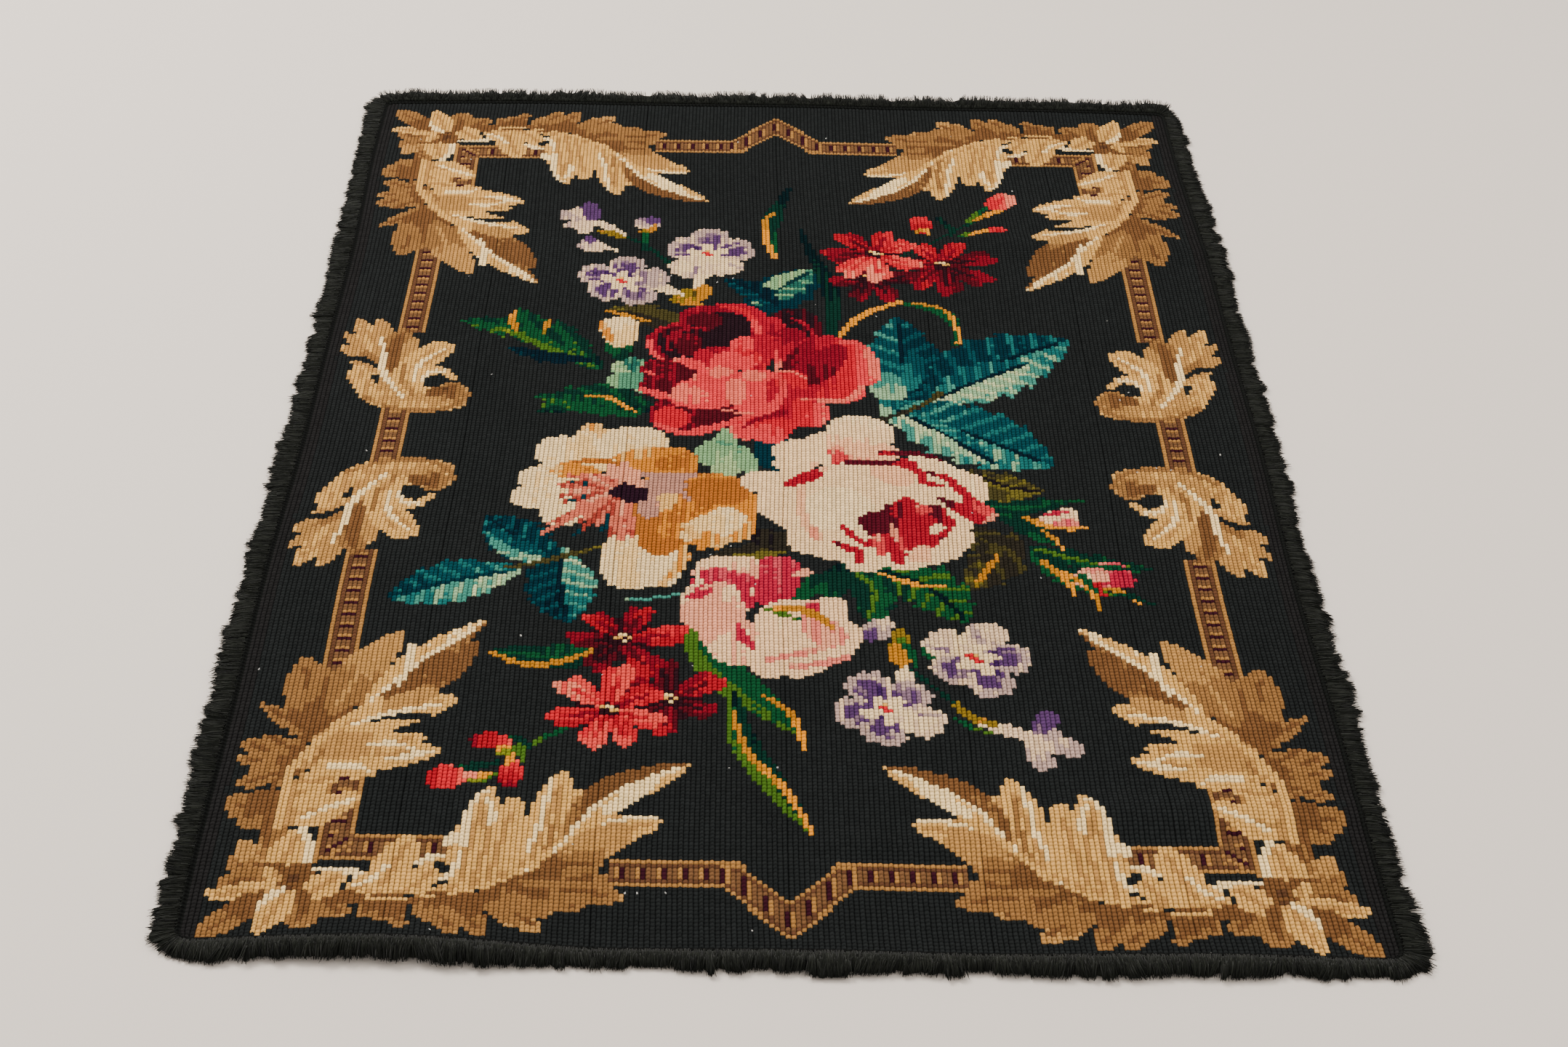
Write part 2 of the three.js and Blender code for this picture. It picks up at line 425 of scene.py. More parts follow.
def red_rose() -> tuple[Motif, ...]:
    """The crimson cabbage rose: dark heart, folded middle and broad outer petals.

    Returns:
        The motifs, in the order of work.
    """
    w = Wool.ROSE
    return (
        petal(w, 3, 28, 3, 58, 7, 0, 0.5), stroke(w, 1, 1.5, 1, 2.5, 2.5, 2, 54, 7, 49, 8, 41, 8, 32),
        petal(w, -3, 34, -4, 54, 5, 1.5, 3), petal(w, -14, 34, -12, 60, 9.5, 1, 3, tilt=-0.6),
        petal(w, -17, 34, -20, 59, 7.5, 0.5, 2.5), petal(w, -17, 33, -30, 49, 8.5, 0.5, 2.5),
        petal(w, -17, 30, -15, 56, 8, 0, 0), petal(w, -19, 47, -20, 56, 4.5, 0.5, 1.5),
        petal(w, -24, 34, -25, 49, 6.5, 0, 0.5),
        stroke(w, 1, 2, 1, 2, 2.5, -28, 38, -28, 44, -24, 48, -19, 48),
        petal(w, -23, 36, -24, 46, 3.5, 1, 1.5),
        stroke(w, 2, 1.5, 1, 5, 5, -33, 42, -32, 37, -29, 34, -25, 32),
        stroke(w, 1, 2.5, 1.5, 3.5, 5.5, -16, 59, -10, 57, -7, 51, -5, 41),
        petal(w, 2, 29, 2, 49, 5, 3.5, 2), stroke(w, 1, 1.5, 2.5, 4, 5.5, -3, 45, -2, 38, -1, 32),
        petal(w, -6, 29, -5, 46, 3.5, 3.5, 3), petal(w, -15, 29, -16, 40, 6.5, 3.5, 2.5),
        petal(w, -11, 35, -9, 45, 3, 4, 5), petal(w, -18, 29.5, -27.5, 34, 3, 5, 5.5, ruffle=(6, 0.3)),
        petal(w, -10, 30, -16, 37, 4.5, 5, 5), petal(w, -9.5, 30.5, -5.5, 37.5, 2, 5, 4.5),
        petal(w, -18, 22, -34, 32, 5, 1, 1.5), stroke(w, 1, 2, 2, 5, 5, -34, 29, -30, 26, -25, 24, -19, 25),
        petal(w, -20, 17, -34, 25, 5, 1, 1.5), stroke(w, 2, 3.5, 2.5, 5, 5, -34, 21, -29, 18, -24, 15),
        petal(w, -6, 12, -32, 10, 7.5, 1, 1.5, full=0.7), petal(w, -22, 8, -31, 10, 4.5, 3.5, 4),
        stroke(w, 1.5, 3, 2, 5, 5, -30, 6, -24, 3, -17, 5, -9, 10),
        petal(w, -5, 12, 11, 12, 6, 2, 5.5, full=0.7), petal(w, -1, 10, -12, 2, 4, 3, 5.5),
        petal(w, 2, 9, -6, 0, 4, 3.5, 5.5), stroke(w, 1, 2, 2.5, 2, 2, -10, 5, -6, 9, 0, 12),
        petal(w, 2, 22, 16, 44, 8.5, 1.5, 4, tilt=-1.4), petal(w, 6, 25, 23, 33, 7.5, 2.5, 5.5, tilt=-0.6),
        petal(w, 1, 21, 20, 22, 5.5, 2, 5, tilt=-0.5), petal(w, 7, 24, 14, 42, 4, 1, 2.5),
        stroke(w, 1.5, 3, 3, 5, 6, 15, 43, 19, 42, 22, 36, 22, 29),
        stroke(w, 1, 2, 1.5, 5.5, 6, 4, 18, 10, 17, 16, 18, 19, 23), petal(w, -2, 15, 3, 30, 5, 3, 4),
        stroke(w, 1, 1, 1, 6, 6, -1.5, 30, 2.5, 29.5, 5.5, 26.5), petal(w, -13, 23, -20, 30, 5.5, 5, 5.5),
        petal(w, -17.5, 27, -14, 30.5, 2.5, 6, 6), petal(w, -12, 16, -27, 21, 6, 5, 5, full=0.7),
        petal(w, -18, 17, -27, 21, 4, 5.5, 6), petal(w, -7, 10, -6, 30, 7.5, 5, 5),
        petal(w, -11.5, 15, -11.5, 26, 3, 6, 6), petal(w, -8, 25, -6, 29.5, 3, 6, 6),
        petal(w, -3.5, 16, -2, 26, 1.5, 3, 3.5), stroke(w, 1, 1, 1, 6, 5.5, -14, 12.5, -9, 11.5, -6, 12),
    )


def white_rose() -> tuple[Motif, ...]:
    """The blush cabbage rose with its crimson heart low on the right.

    Returns:
        The motifs, in the order of work.
    """
    w = Wool.BLUSH
    return (
        petal(w, 14, -9, 7, 3, 7, 5, 5, blunt=3.4), petal(w, 6, -12, 0, 0, 5, 4.5, 5),
        petal(w, 5, -12, -1, -6, 4, 5, 5), petal(w, 16, -10, 19, 11, 8, 3, 6),
        petal(w, 22, -7, 25, -1, 3.5, 3.5, 4), petal(w, 13.5, -11, 12, -1.5, 2, 1, 3),
        petal(w, 8, -17, -10, -16, 4.5, 5, 5), petal(w, 8, -22, -6, -26, 6.5, 5, 5),
        petal(w, 6, -26, -1, -33, 4.5, 4.5, 5), petal(w, 21, -7, 20, -46, 20, 5, 5, blunt=2.7),
        petal(w, 10, -30, 5, -43, 5.5, 5, 5), petal(w, 18, -34, 18, -49, 5, 5, 5),
        petal(w, 27, -34, 27, -48, 6, 5, 5), petal(w, 26, -30, 40, -42, 8.5, 5, 5),
        petal(w, 26, -16, 43, -32, 9, 5, 5), petal(w, 22, -10, 46, -22, 8.5, 5, 5),
        petal(w, 11, -18, 14, -34, 8.5, 6, 6), petal(w, 20, -9, 30, -15, 4, 4, 4),
        stroke(w, 2, 1.5, 3, 4, 3.5, 9, -11, 5, -15, 4, -22, 5, -31, 8, -37),
        petal(w, 0.5, -17.5, 8.5, -12, 2, 1, 1), stroke(w, 1, 1.5, 1.5, 0, 0, 14, -8, 21, -8, 29, -8),
        stroke(w, 1, 1.5, 1.5, 0.5, 0, 22, -4, 29, -4, 34, -5, 38, -9),
        petal(w, 25.5, -8.5, 31.5, -7, 2, 1, 1),
        stroke(w, 2, 3.5, 3, 5.5, 5.5, 30, -6, 36, -8, 41, -13, 46, -21),
        stroke(w, 2.5, 2, 1, 1, 1, 29, -9, 32, -12, 32, -15, 37, -17),
        stroke(w, 1, 2.5, 1.5, 0.5, 1, 33, -11, 38, -14, 41, -19, 45, -25),
        petal(w, 41, -22, 47, -30, 3.5, 1, 3), stroke(w, 1, 3.5, 3.5, 0, 1, 35, -21, 39, -24, 44, -29),
        petal(w, 17, -32, 39, -30, 7, 0, 0.5, ruffle=(7, 0.3)),
        petal(w, 22, -29, 31, -23, 3.5, 0, 1, ruffle=(5, 0.3)),
        petal(w, 19, -38, 36, -32, 6.5, 1, 1, ruffle=(7, 0.3)), petal(w, 17, -30, 26, -33, 3.5, 0, 0),
        petal(w, 31, -24, 33, -27.5, 2, 2.5, 1.5), petal(w, 33, -34.5, 36, -31.5, 1.5, 5, 5),
        stroke(w, 1, 2, 1, 3, 2, 24.5, -32, 25.5, -36, 27, -40.5),
        stroke(w, 2.5, 2.5, 1, 2.5, 1.5, 21.5, -36.5, 21.5, -39, 22, -43),
        stroke(w, 1.5, 2, 1, 1, 1, 13.5, -33, 16, -36.5, 19, -39.5),
        stroke(w, 1, 2.5, 1, 0.5, 1, 11, -38, 14, -40, 17, -42, 17, -46),
        stroke(w, 1.5, 4, 2, 1, 1, 23.5, -41, 25.5, -42.5, 26, -45.5),
        petal(w, 32, -39, 30, -45.5, 2.5, 3.5, 4.5),
    )


def dog_rose() -> tuple[Motif, ...]:
    """The cream and ochre single rose with its spray of stamens.

    Returns:
        The motifs, in the order of work.
    """
    w, s = Wool.CREAM, Wool.STAMEN
    eye_x, eye_y = -36, -21
    rays: list[Motif] = []
    for turn, reach, shade in (
        (188, 15, 3), (180, 13, 4), (172, 16, 3), (164, 14, 2), (156, 15, 3), (147, 12, 4),
        (197, 14, 2), (205, 12, 4), (217, 21, 3), (222, 24, 3.4), (230, 15, 3), (238, 19, 2),
        (246, 14, 3), (254, 15, 2), (262, 17, 3), (270, 18, 4), (278, 17, 3), (137, 10, 3),
    ):
        angle = math.radians(turn)
        dx, dy = reach * math.cos(angle), reach * math.sin(angle)
        places = (eye_x, eye_y, eye_x + 0.5 * dx, eye_y + 0.5 * dy + 0.6, eye_x + dx, eye_y + dy)
        rays.append(stroke(s, 1.6, 2.4, 1.2, shade, shade - 0.6, *places))
    return (
        petal(w, -38, -10, -58, -4, 6.5, 3.5, 5), petal(w, -40, -9, -46, 3, 6.5, 4, 4),
        petal(w, -44, -2, -46, 6, 3, 3, 2.5), petal(w, -46, -8, -47, 3.5, 3, 4, 4.5),
        petal(w, -34, -14, -36, 5, 8.5, 4, 5, tilt=0.3), petal(w, -38, -10, -20, -9, 6.5, 2, 1.5),
        petal(w, -40, -8, -30, -4.5, 2, 2.5, 2.5), petal(w, -30, -10.5, -21, -7.5, 3, 1, 1.5),
        stroke(w, 1, 2, 1.5, 1.5, 1, -50, -10, -44, -9, -37, -10),
        petal(w, -38, -18, -61, -16, 5.5, 3.5, 5), petal(w, -40, -20, -62, -24, 5, 4, 5),
        petal(w, -40, -22, -54, -32, 5.5, 4.5, 5), petal(w, -42, -14, -53.5, -12.5, 3, 1.5, 2.5),
        petal(w, -32, -30, -33, -56, 7.5, 4.5, 5), petal(w, -30, -34, -34, -56, 3.5, 4.5, 4),
        petal(w, -26, -34, -27, -55, 5, 4.5, 5), petal(w, -31, -26, -26, -44, 4.5, 1, 1),
        stroke(w, 1.5, 3, 1.5, 2.5, 2.5, -22, -38, -22, -46, -26, -54),
        petal(w, -36, -26, -6, -27, 13.5, 1, 2), petal(w, -24, -20, -8, -20, 5.5, 1, 1),
        petal(w, -18, -28, -7, -37, 4.5, 2, 2.5), petal(w, -23, -38, -9, -28, 5, 4, 4.5, ruffle=(5, 0.2)),
        petal(w, -19, -36, -12.5, -40.5, 2.5, 2.5, 2.5), petal(w, -29, -28, -26, -19, 3.5, 3, 2.5),
        stroke(w, 2, 2.5, 1.5, 3.5, 2, -22, -33, -20, -36, -18, -41),
        petal(s, -34, -23, -22, -15, 3.5, 5, 5, ruffle=(7, 0.5)),
        stroke(s, 3, 2, 1, 4.5, 5, -36, -14, -29, -14, -20, -14),
        stroke(s, 2.5, 2, 1, 5, 5, -30, -16, -25, -18, -21, -24),
        petal(s, -32, -22, -40, -10, 4.5, 4.5, 4, ruffle=(7, 0.5)),
        petal(s, -31, -20, -30, -31, 3, 4.5, 5, ruffle=(6, 0.5)), *rays,
        petal(s, -40, -19, -31, -23, 3.5, 0, 0, ruffle=(5, 0.4)),
    )


def pink_rose() -> tuple[Motif, ...]:
    """The pale pink rose seen from the side, with crimson folds and a small bud.

    Returns:
        The motifs, in the order of work.
    """
    w = Wool.PINK
    return (
        petal(w, -3, -62, 0, -44, 5.5, 1, 1.5), petal(w, 2.5, -51, 6.5, -48.5, 1.5, 3.5, 4.5),
        petal(w, -10, -62, -14, -44, 7, 3.5, 5), petal(w, -8, -60, -8, -44, 3.5, 3, 5),
        petal(w, -10, -62, -21, -56, 5.5, 4, 5), petal(w, -9, -62, -17, -49, 5.5, 1, 1.5),
        petal(w, -8, -60, -9, -50, 3.5, 1, 1.5),
        stroke(w, 1, 1.5, 1, 4.5, 5, -20, -56, -18, -53, -18.5, -50.5),
        petal(w, -8, -64, -18, -56, 6, 4.5, 4), petal(w, -8, -66, -22, -63, 5.5, 4, 4),
        petal(w, -8, -60, -11, -54, 3.5, 4.5, 5),
        stroke(w, 2, 2.5, 1, 0.5, 1, -20, -58.5, -17, -57, -15.5, -56),
        petal(w, -6, -68, -18, -72, 6, 4, 4), petal(w, -6, -70, -13, -80, 5.5, 4.5, 4.5),
        petal(w, -2, -60, 4, -70, 8, 5, 5.5), petal(w, 0, -68, 16, -74, 7.5, 5, 5),
        petal(w, -2, -70, 7, -83, 7, 5, 5), petal(w, -2, -68, -3, -85, 4.5, 5, 5),
        petal(w, 5, -64, 12, -74, 4, 3.5, 3.5),
        stroke(w, 1.5, 2, 2, 3, 4, -3, -79, 3, -77, 8, -75, 11, -71),
        stroke(w, 1.5, 2, 2, 3.5, 3, 2, -81, 8, -80, 13, -78),
        stroke(w, 2.5, 2.5, 2, 1, 1, -9, -52, -8, -57, -7, -61),
        stroke(w, 1, 3, 1, 1, 1.5, -9.5, -68, -9, -70.5, -7.5, -73.5, -6.5, -75.5),
        petal(w, 5, -62, 14, -62, 4, 4.5, 5), petal(w, 3, -62, 8, -61.5, 1.5, 1, 1.5),
        stroke(Wool.GOLD, 1, 2.5, 1, 2.5, 2, -2, -62, 3, -62, 8, -65, 11, -69),
        stroke(Wool.GREEN, 1, 1.5, 1, 3, 2.5, -4, -62, 0, -64, 4, -66),
    )


@dataclass(frozen=True)
class StarFlower:
    """A small flower of narrow notched petals round a yellow eye, with a dark heart.

    Attributes:
        centre: Its middle.
        reach: Length of its petals.
        shades: Shade of each petal's tip, going left round it.
        turn: Direction of the first petal in degrees.
        wide: Half width of a petal as a share of its length.
        heart: Length and half width of the dark heart's lobes, as shares of the reach.
        astray: How far a petal turns from its place, in degrees.
        uneven: How much the petals' lengths differ, as a share.
    """

    centre: Point
    reach: float
    shades: tuple[float, ...]
    turn: float = 90.0
    wide: float = 0.155
    heart: tuple[float, float] = (0.55, 0.24)
    astray: float = 7.0
    uneven: float = 0.12

    def paint(self, chart: Chart) -> None:
        """Works the heart, the petals with a light rim and a dark fold each, and the eye.

        Args:
            chart: The stitch chart.
        """
        cx, cy = self.centre

        def out(angle: float, far: float) -> Point:
            """The place that lies far from the middle at an angle."""
            return cx + far * math.cos(angle), cy + far * math.sin(angle)

        step = 360 / len(self.shades)
        for number in range(len(self.shades)):
            angle = math.radians(self.turn + step * (number + 0.5))
            heart = Petal(
                Wool.RED, out(angle, 0), out(angle, self.heart[0] * self.reach), self.heart[1] * self.reach,
                (0, 0), full=0.5, ruffle=(5, 0.3),
            )
            heart.paint(chart)
        for number, shade in enumerate(self.shades):
            angle = math.radians(self.turn + step * number + self.astray * math.sin(5 * number + cy))
            reach = self.reach * (1 + self.uneven * math.sin(7 * number + cx))
            side = 1 if number % 2 else -1
            for lean, far, dye in ((-0.13, 0.9, shade - 0.9), (0.12, 1, shade)):
                tip = out(angle + lean * side, far * reach)
                Petal(
                    Wool.RED, out(angle, 0.12 * reach), tip, self.wide * reach,
                    (dye - 0.7, dye + 0.3), full=0.68, blunt=1.8, streak=0.45,
                ).paint(chart)
            fold = (out(angle, 0.1 * reach), out(angle + 0.03 * side, 0.66 * reach))
            Stroke(Wool.RED, fold, (1.2, 1.2, 1), shade - 2.2, shade - 1.4).paint(chart)
        Petal(Wool.RED, (cx - 2, cy), (cx + 2, cy), 1.8, (0, 0)).paint(chart)
        for dx, dy, shade in ((-1.6, 0.6, 1), (-0.2, 1.2, 2), (1.2, 0.4, 1), (0.2, -0.4, 1.6)):
            spot = (cx + dx, cy + dy)
            Stroke(Wool.YELLOW, (spot, (spot[0] + 0.7, spot[1])), (1, 1, 1), shade, shade).paint(chart)


@dataclass(frozen=True)
class Violet:
    """A lilac flower of five ruffled lobes round a pale star, with a small red eye.

    Attributes:
        centre: Its middle.
        reach: Its radius.
        turn: Direction of the first lobe in degrees.
        deep: Shade of the lobes' middles, one for each lobe.
        wide: Half widths of a lobe, of its middle and of a ray of the star, as shares of the
            reach.
        uneven: How much the lobes' lengths differ, as a share.
    """

    centre: Point
    reach: float
    turn: float = 90.0
    deep: tuple[float, ...] = (1, 1.2, 4.4, 4.4, 1)
    wide: tuple[float, float, float] = (0.43, 0.29, 0.125)
    uneven: float = 0.09

    def paint(self, chart: Chart) -> None:
        """Works the lobes, their deep middles, the pale star and the eye.

        Args:
            chart: The stitch chart.
        """
        cx, cy = self.centre
        spokes = [math.radians(self.turn + 72 * number) for number in range(5)]

        def out(angle: float, share: float) -> Point:
            """The place at an angle and at a share of the reach from the middle."""
            return cx + share * self.reach * math.cos(angle), cy + share * self.reach * math.sin(angle)

        for number, (angle, deep) in enumerate(zip(spokes, self.deep)):
            rim = 3.2 if deep < 3 else 4.2
            far = 1 + self.uneven * math.sin(4 * number + cx)
            Petal(
                Wool.VIOLET, out(angle, 0.1), out(angle, far), self.wide[0] * self.reach,
                (rim + 0.4, rim - 0.1), full=0.62, blunt=2.4, ruffle=(9, 0.2), streak=0.6,
            ).paint(chart)
            Petal(
                Wool.VIOLET, out(angle, 0.12), out(angle + 0.06, 0.84 * far), self.wide[1] * self.reach,
                (deep - 0.5, deep + 0.5), blunt=2.0, ruffle=(7, 0.3), streak=0.6,
            ).paint(chart)
            vein = (out(angle + 0.24, 0.55), out(angle + 0.28, 0.9 * far))
            Stroke(Wool.VIOLET, vein, (1.2, 1.2, 1), 2.4, 2.8).paint(chart)
        for number, angle in enumerate(spokes):
            tip = out(angle + 0.12, 0.43 + 0.1 * (number % 2))
            Petal(Wool.VIOLET, self.centre, tip, self.wide[2] * self.reach, (5, 4.7)).paint(chart)
        Petal(Wool.VIOLET, out(0, -0.17), out(0, 0.17), 0.16 * self.reach, (5, 5)).paint(chart)
        Stroke(Wool.RED, ((cx - 1.4, cy + 0.6), (cx + 0.9, cy - 0.8)), (1.6, 1.8, 1.2), 4, 3.4).paint(chart)
        Stroke(Wool.YELLOW, ((cx - 0.4, cy + 1.6), (cx, cy + 1.2)), (1, 1, 1), 1, 1).paint(chart)


def small_flowers(chart: Chart) -> None:
    """The violets, the red star flowers and all the buds, with their stems.

    Args:
        chart: The stitch chart.
    """
    v, g, o, r = Wool.VIOLET, Wool.GREEN, Wool.GOLD, Wool.RED
    work(chart, (
        stroke(g, 1, 1, 1.5, 0.5, 1, -50, 99, -43, 93, -36, 88, -30, 80),
        stroke(g, 1.5, 1, 1, 3, 1, -36, 96, -36, 90, -36, 85),
        petal(v, -50, 98, -59, 104, 3, 4, 3, ruffle=(5, 0.4)),
        petal(v, -50, 98, -58, 97.5, 2, 4, 3.5, ruffle=(5, 0.3)), petal(v, -50, 97, -54, 94, 2, 4, 4.5),
        petal(v, -50, 100, -56, 106, 2, 3.5, 4), petal(v, -50, 99, -51.5, 109.5, 2.5, 1, 1),
        stroke(v, 3, 3, 1.5, 4.5, 4.5, -50, 99, -46, 97, -42, 93),
        stroke(o, 1.5, 3, 1, 1.5, 1, -48, 94.5, -44, 93, -41, 91), petal(v, -36, 95, -35, 102, 3.5, 4.5, 2),
        petal(v, -34, 98, -34.5, 102.5, 2, 1.5, 1),
        stroke(o, 1, 2.5, 1.5, 2, 1.5, -33.5, 98, -34.5, 95.5, -37, 94.5),
        petal(v, -46, 85.5, -53.5, 88.5, 3, 4.5, 3), petal(v, -49, 89, -52, 91, 1.5, 1, 1),
        stroke(v, 2, 1.5, 1, 4.5, 4.5, -46, 86, -43.5, 85), petal(v, 22, -64, 19, -72, 3, 4, 2.5),
        petal(v, 19, -68, 18.5, -72.5, 1.5, 1.5, 1), stroke(g, 2, 1.5, 1, 2, 1, 21, -64, 24, -60.5),
        stroke(v, 2, 3.5, 3.5, 4.5, 4.5, 40, -98, 45, -100, 50, -102),
        petal(v, 49, -101, 52, -112, 3, 4, 3, ruffle=(5, 0.3)),
        petal(v, 50, -101, 60, -107, 3, 4, 3, ruffle=(5, 0.3)), petal(v, 50, -101, 56, -101, 2, 3.5, 3),
        petal(v, 51, -101, 54.5, -94.5, 2.5, 1.5, 1),
        stroke(o, 1.5, 2.5, 1.5, 1.5, 1, 42, -98, 38, -96, 35, -92),
        stroke(g, 1, 1.5, 1, 3, 1.5, 41, -100.5, 37, -98.5, 34, -96),
        stroke(g, 1, 1, 1, 1, 0.5, 35, -92, 31, -87, 25, -80),
    ))
    work(chart, (
        stroke(v, 6, 4, 2.5, 4.5, 5, -20, 76, -21.5, 72, -22, 68),
        petal(o, -22, 61, -19.5, 68.5, 2.5, 1.5, 2), petal(o, -24, 60, -24.5, 67, 2, 1, 0.5),
        stroke(v, 6, 4.5, 2, 4.5, 5, -36, 70, -32, 68, -26, 64),
        petal(o, -20.5, 59.5, -28.5, 62.5, 2, 2, 1),
        stroke(v, 4, 3.5, 2, 4.5, 4.5, 25, -90, 25, -84, 25, -78),
        petal(o, 25, -68, 24.5, -80.5, 2.5, 1, 2),
        stroke(g, 1.5, 2, 1, 2.5, 1.5, 25, -72, 27, -76, 27.5, -80),
        stroke(g, 1.5, 2, 1, 2, 2.5, 33, -71, 30, -76, 33, -78),
    ))
    Violet((-19, 84), 12.4, 88, (1.4, 1, 4.6, 4.8, 0.8)).paint(chart)
    Violet((-41, 70), 11.8, 84, (1, 0.8, 1, 1.6, 2.6)).paint(chart)
    Violet((21, -94), 11.6, 118, (0.8, 1.2, 1, 4.4, 1.4)).paint(chart)
    Violet((40.5, -77.5), 11.8, 72, (3.8, 4.4, 1.4, 0.8, 1)).paint(chart)
    work(chart, (
        stroke(g, 1, 1, 1, 0.5, 1.5, 30, 84, 39, 90, 47, 98, 55, 105),
        stroke(g, 1.5, 2, 1, 0.5, 1, 43, 104, 46, 98, 45, 94), stroke(g, 1, 2, 1, 2.5, 3, 47, 94, 52, 97),
        petal(r, 38, 96, 37.5, 105, 3, 2.5, 4), stroke(o, 1, 2, 1, 3, 2, 39.5, 96, 38.5, 98.5, 36.5, 97),
        petal(r, 57, 109, 64, 117, 3.5, 3.5, 6, tilt=-0.8),
        stroke(r, 1, 2, 1, 4, 4, 58.5, 111, 61.5, 115.5),
        stroke(o, 1.5, 2.5, 1, 2, 3, 53, 104, 57, 107, 61, 109),
        stroke(g, 1.5, 2, 1, 3, 2, 51, 103, 54, 107, 57, 111), petal(r, 54.5, 98, 60.5, 99, 1.5, 3, 4),
        stroke(o, 1, 2.5, 1.5, 2.5, 3, 50.5, 95.5, 53, 97, 55, 98),
        stroke(g, 1, 1.5, 1.5, 2, 3, -43, -100, -50, -105.5, -53, -109),
        stroke(g, 1, 2.5, 1.5, 1, 1.5, -51.5, -107, -53, -106, -55.5, -104.5),
        petal(r, -55, -105.5, -63.5, -106, 2.4, 5, 1.5),
        stroke(g, 1.5, 2, 1, 4, 3, -57.5, -109, -55, -108.5, -53, -107.5),
        stroke(o, 1, 1.5, 1, 3, 3, -57.5, -108, -55.5, -107.5),
        stroke(g, 1, 2.5, 2, 1, 1.5, -57.5, -112, -62, -113.5, -66.5, -115),
        petal(r, -63, -116.5, -71, -117, 3.4, 5.4, 2.4),
        stroke(g, 1, 1.5, 1, 4, 3, -63, -118, -60, -117.5, -57, -115),
        stroke(o, 1, 2, 1.5, 3, 3, -62, -117, -58.5, -115.5),
        stroke(r, 1, 2, 1, 6, 6, -64, -116, -61.5, -116), petal(r, -54, -111, -55, -119, 2.4, 4.8, 2),
        stroke(g, 1.5, 2, 1, 3, 2.5, -53.5, -107, -52.5, -111),
        stroke(o, 1, 2.2, 1.5, 3, 2.5, -54, -109, -55.5, -112.5),
    ))
    for flower in (
        StarFlower((22.5, 73.5), 12.6, (1.4, 2.6, 2.2, 1.4, 1.8, 1.2), 68),
        StarFlower((42, 80.5), 14, (3.4, 3.6, 2.8, 2.4, 1.8, 1.9, 2), 72),
        StarFlower((24.5, 85.5), 13.4, (3.8, 3, 2.4, 5.4, 5.8, 5, 4.6), 76),
        StarFlower((-24, -92), 12.6, (3, 1.6, 2.4, 1.4, 2.6, 1.8), 30),
        StarFlower((-34, -73), 13.4, (2.6, 3.2, 2, 1.6, 2.8, 3.6), 64),
        StarFlower((-36, -95.5), 13.4, (5, 5.6, 3.8, 5.2, 4.6, 5, 3.8), 90),
    ):
        flower.paint(chart)


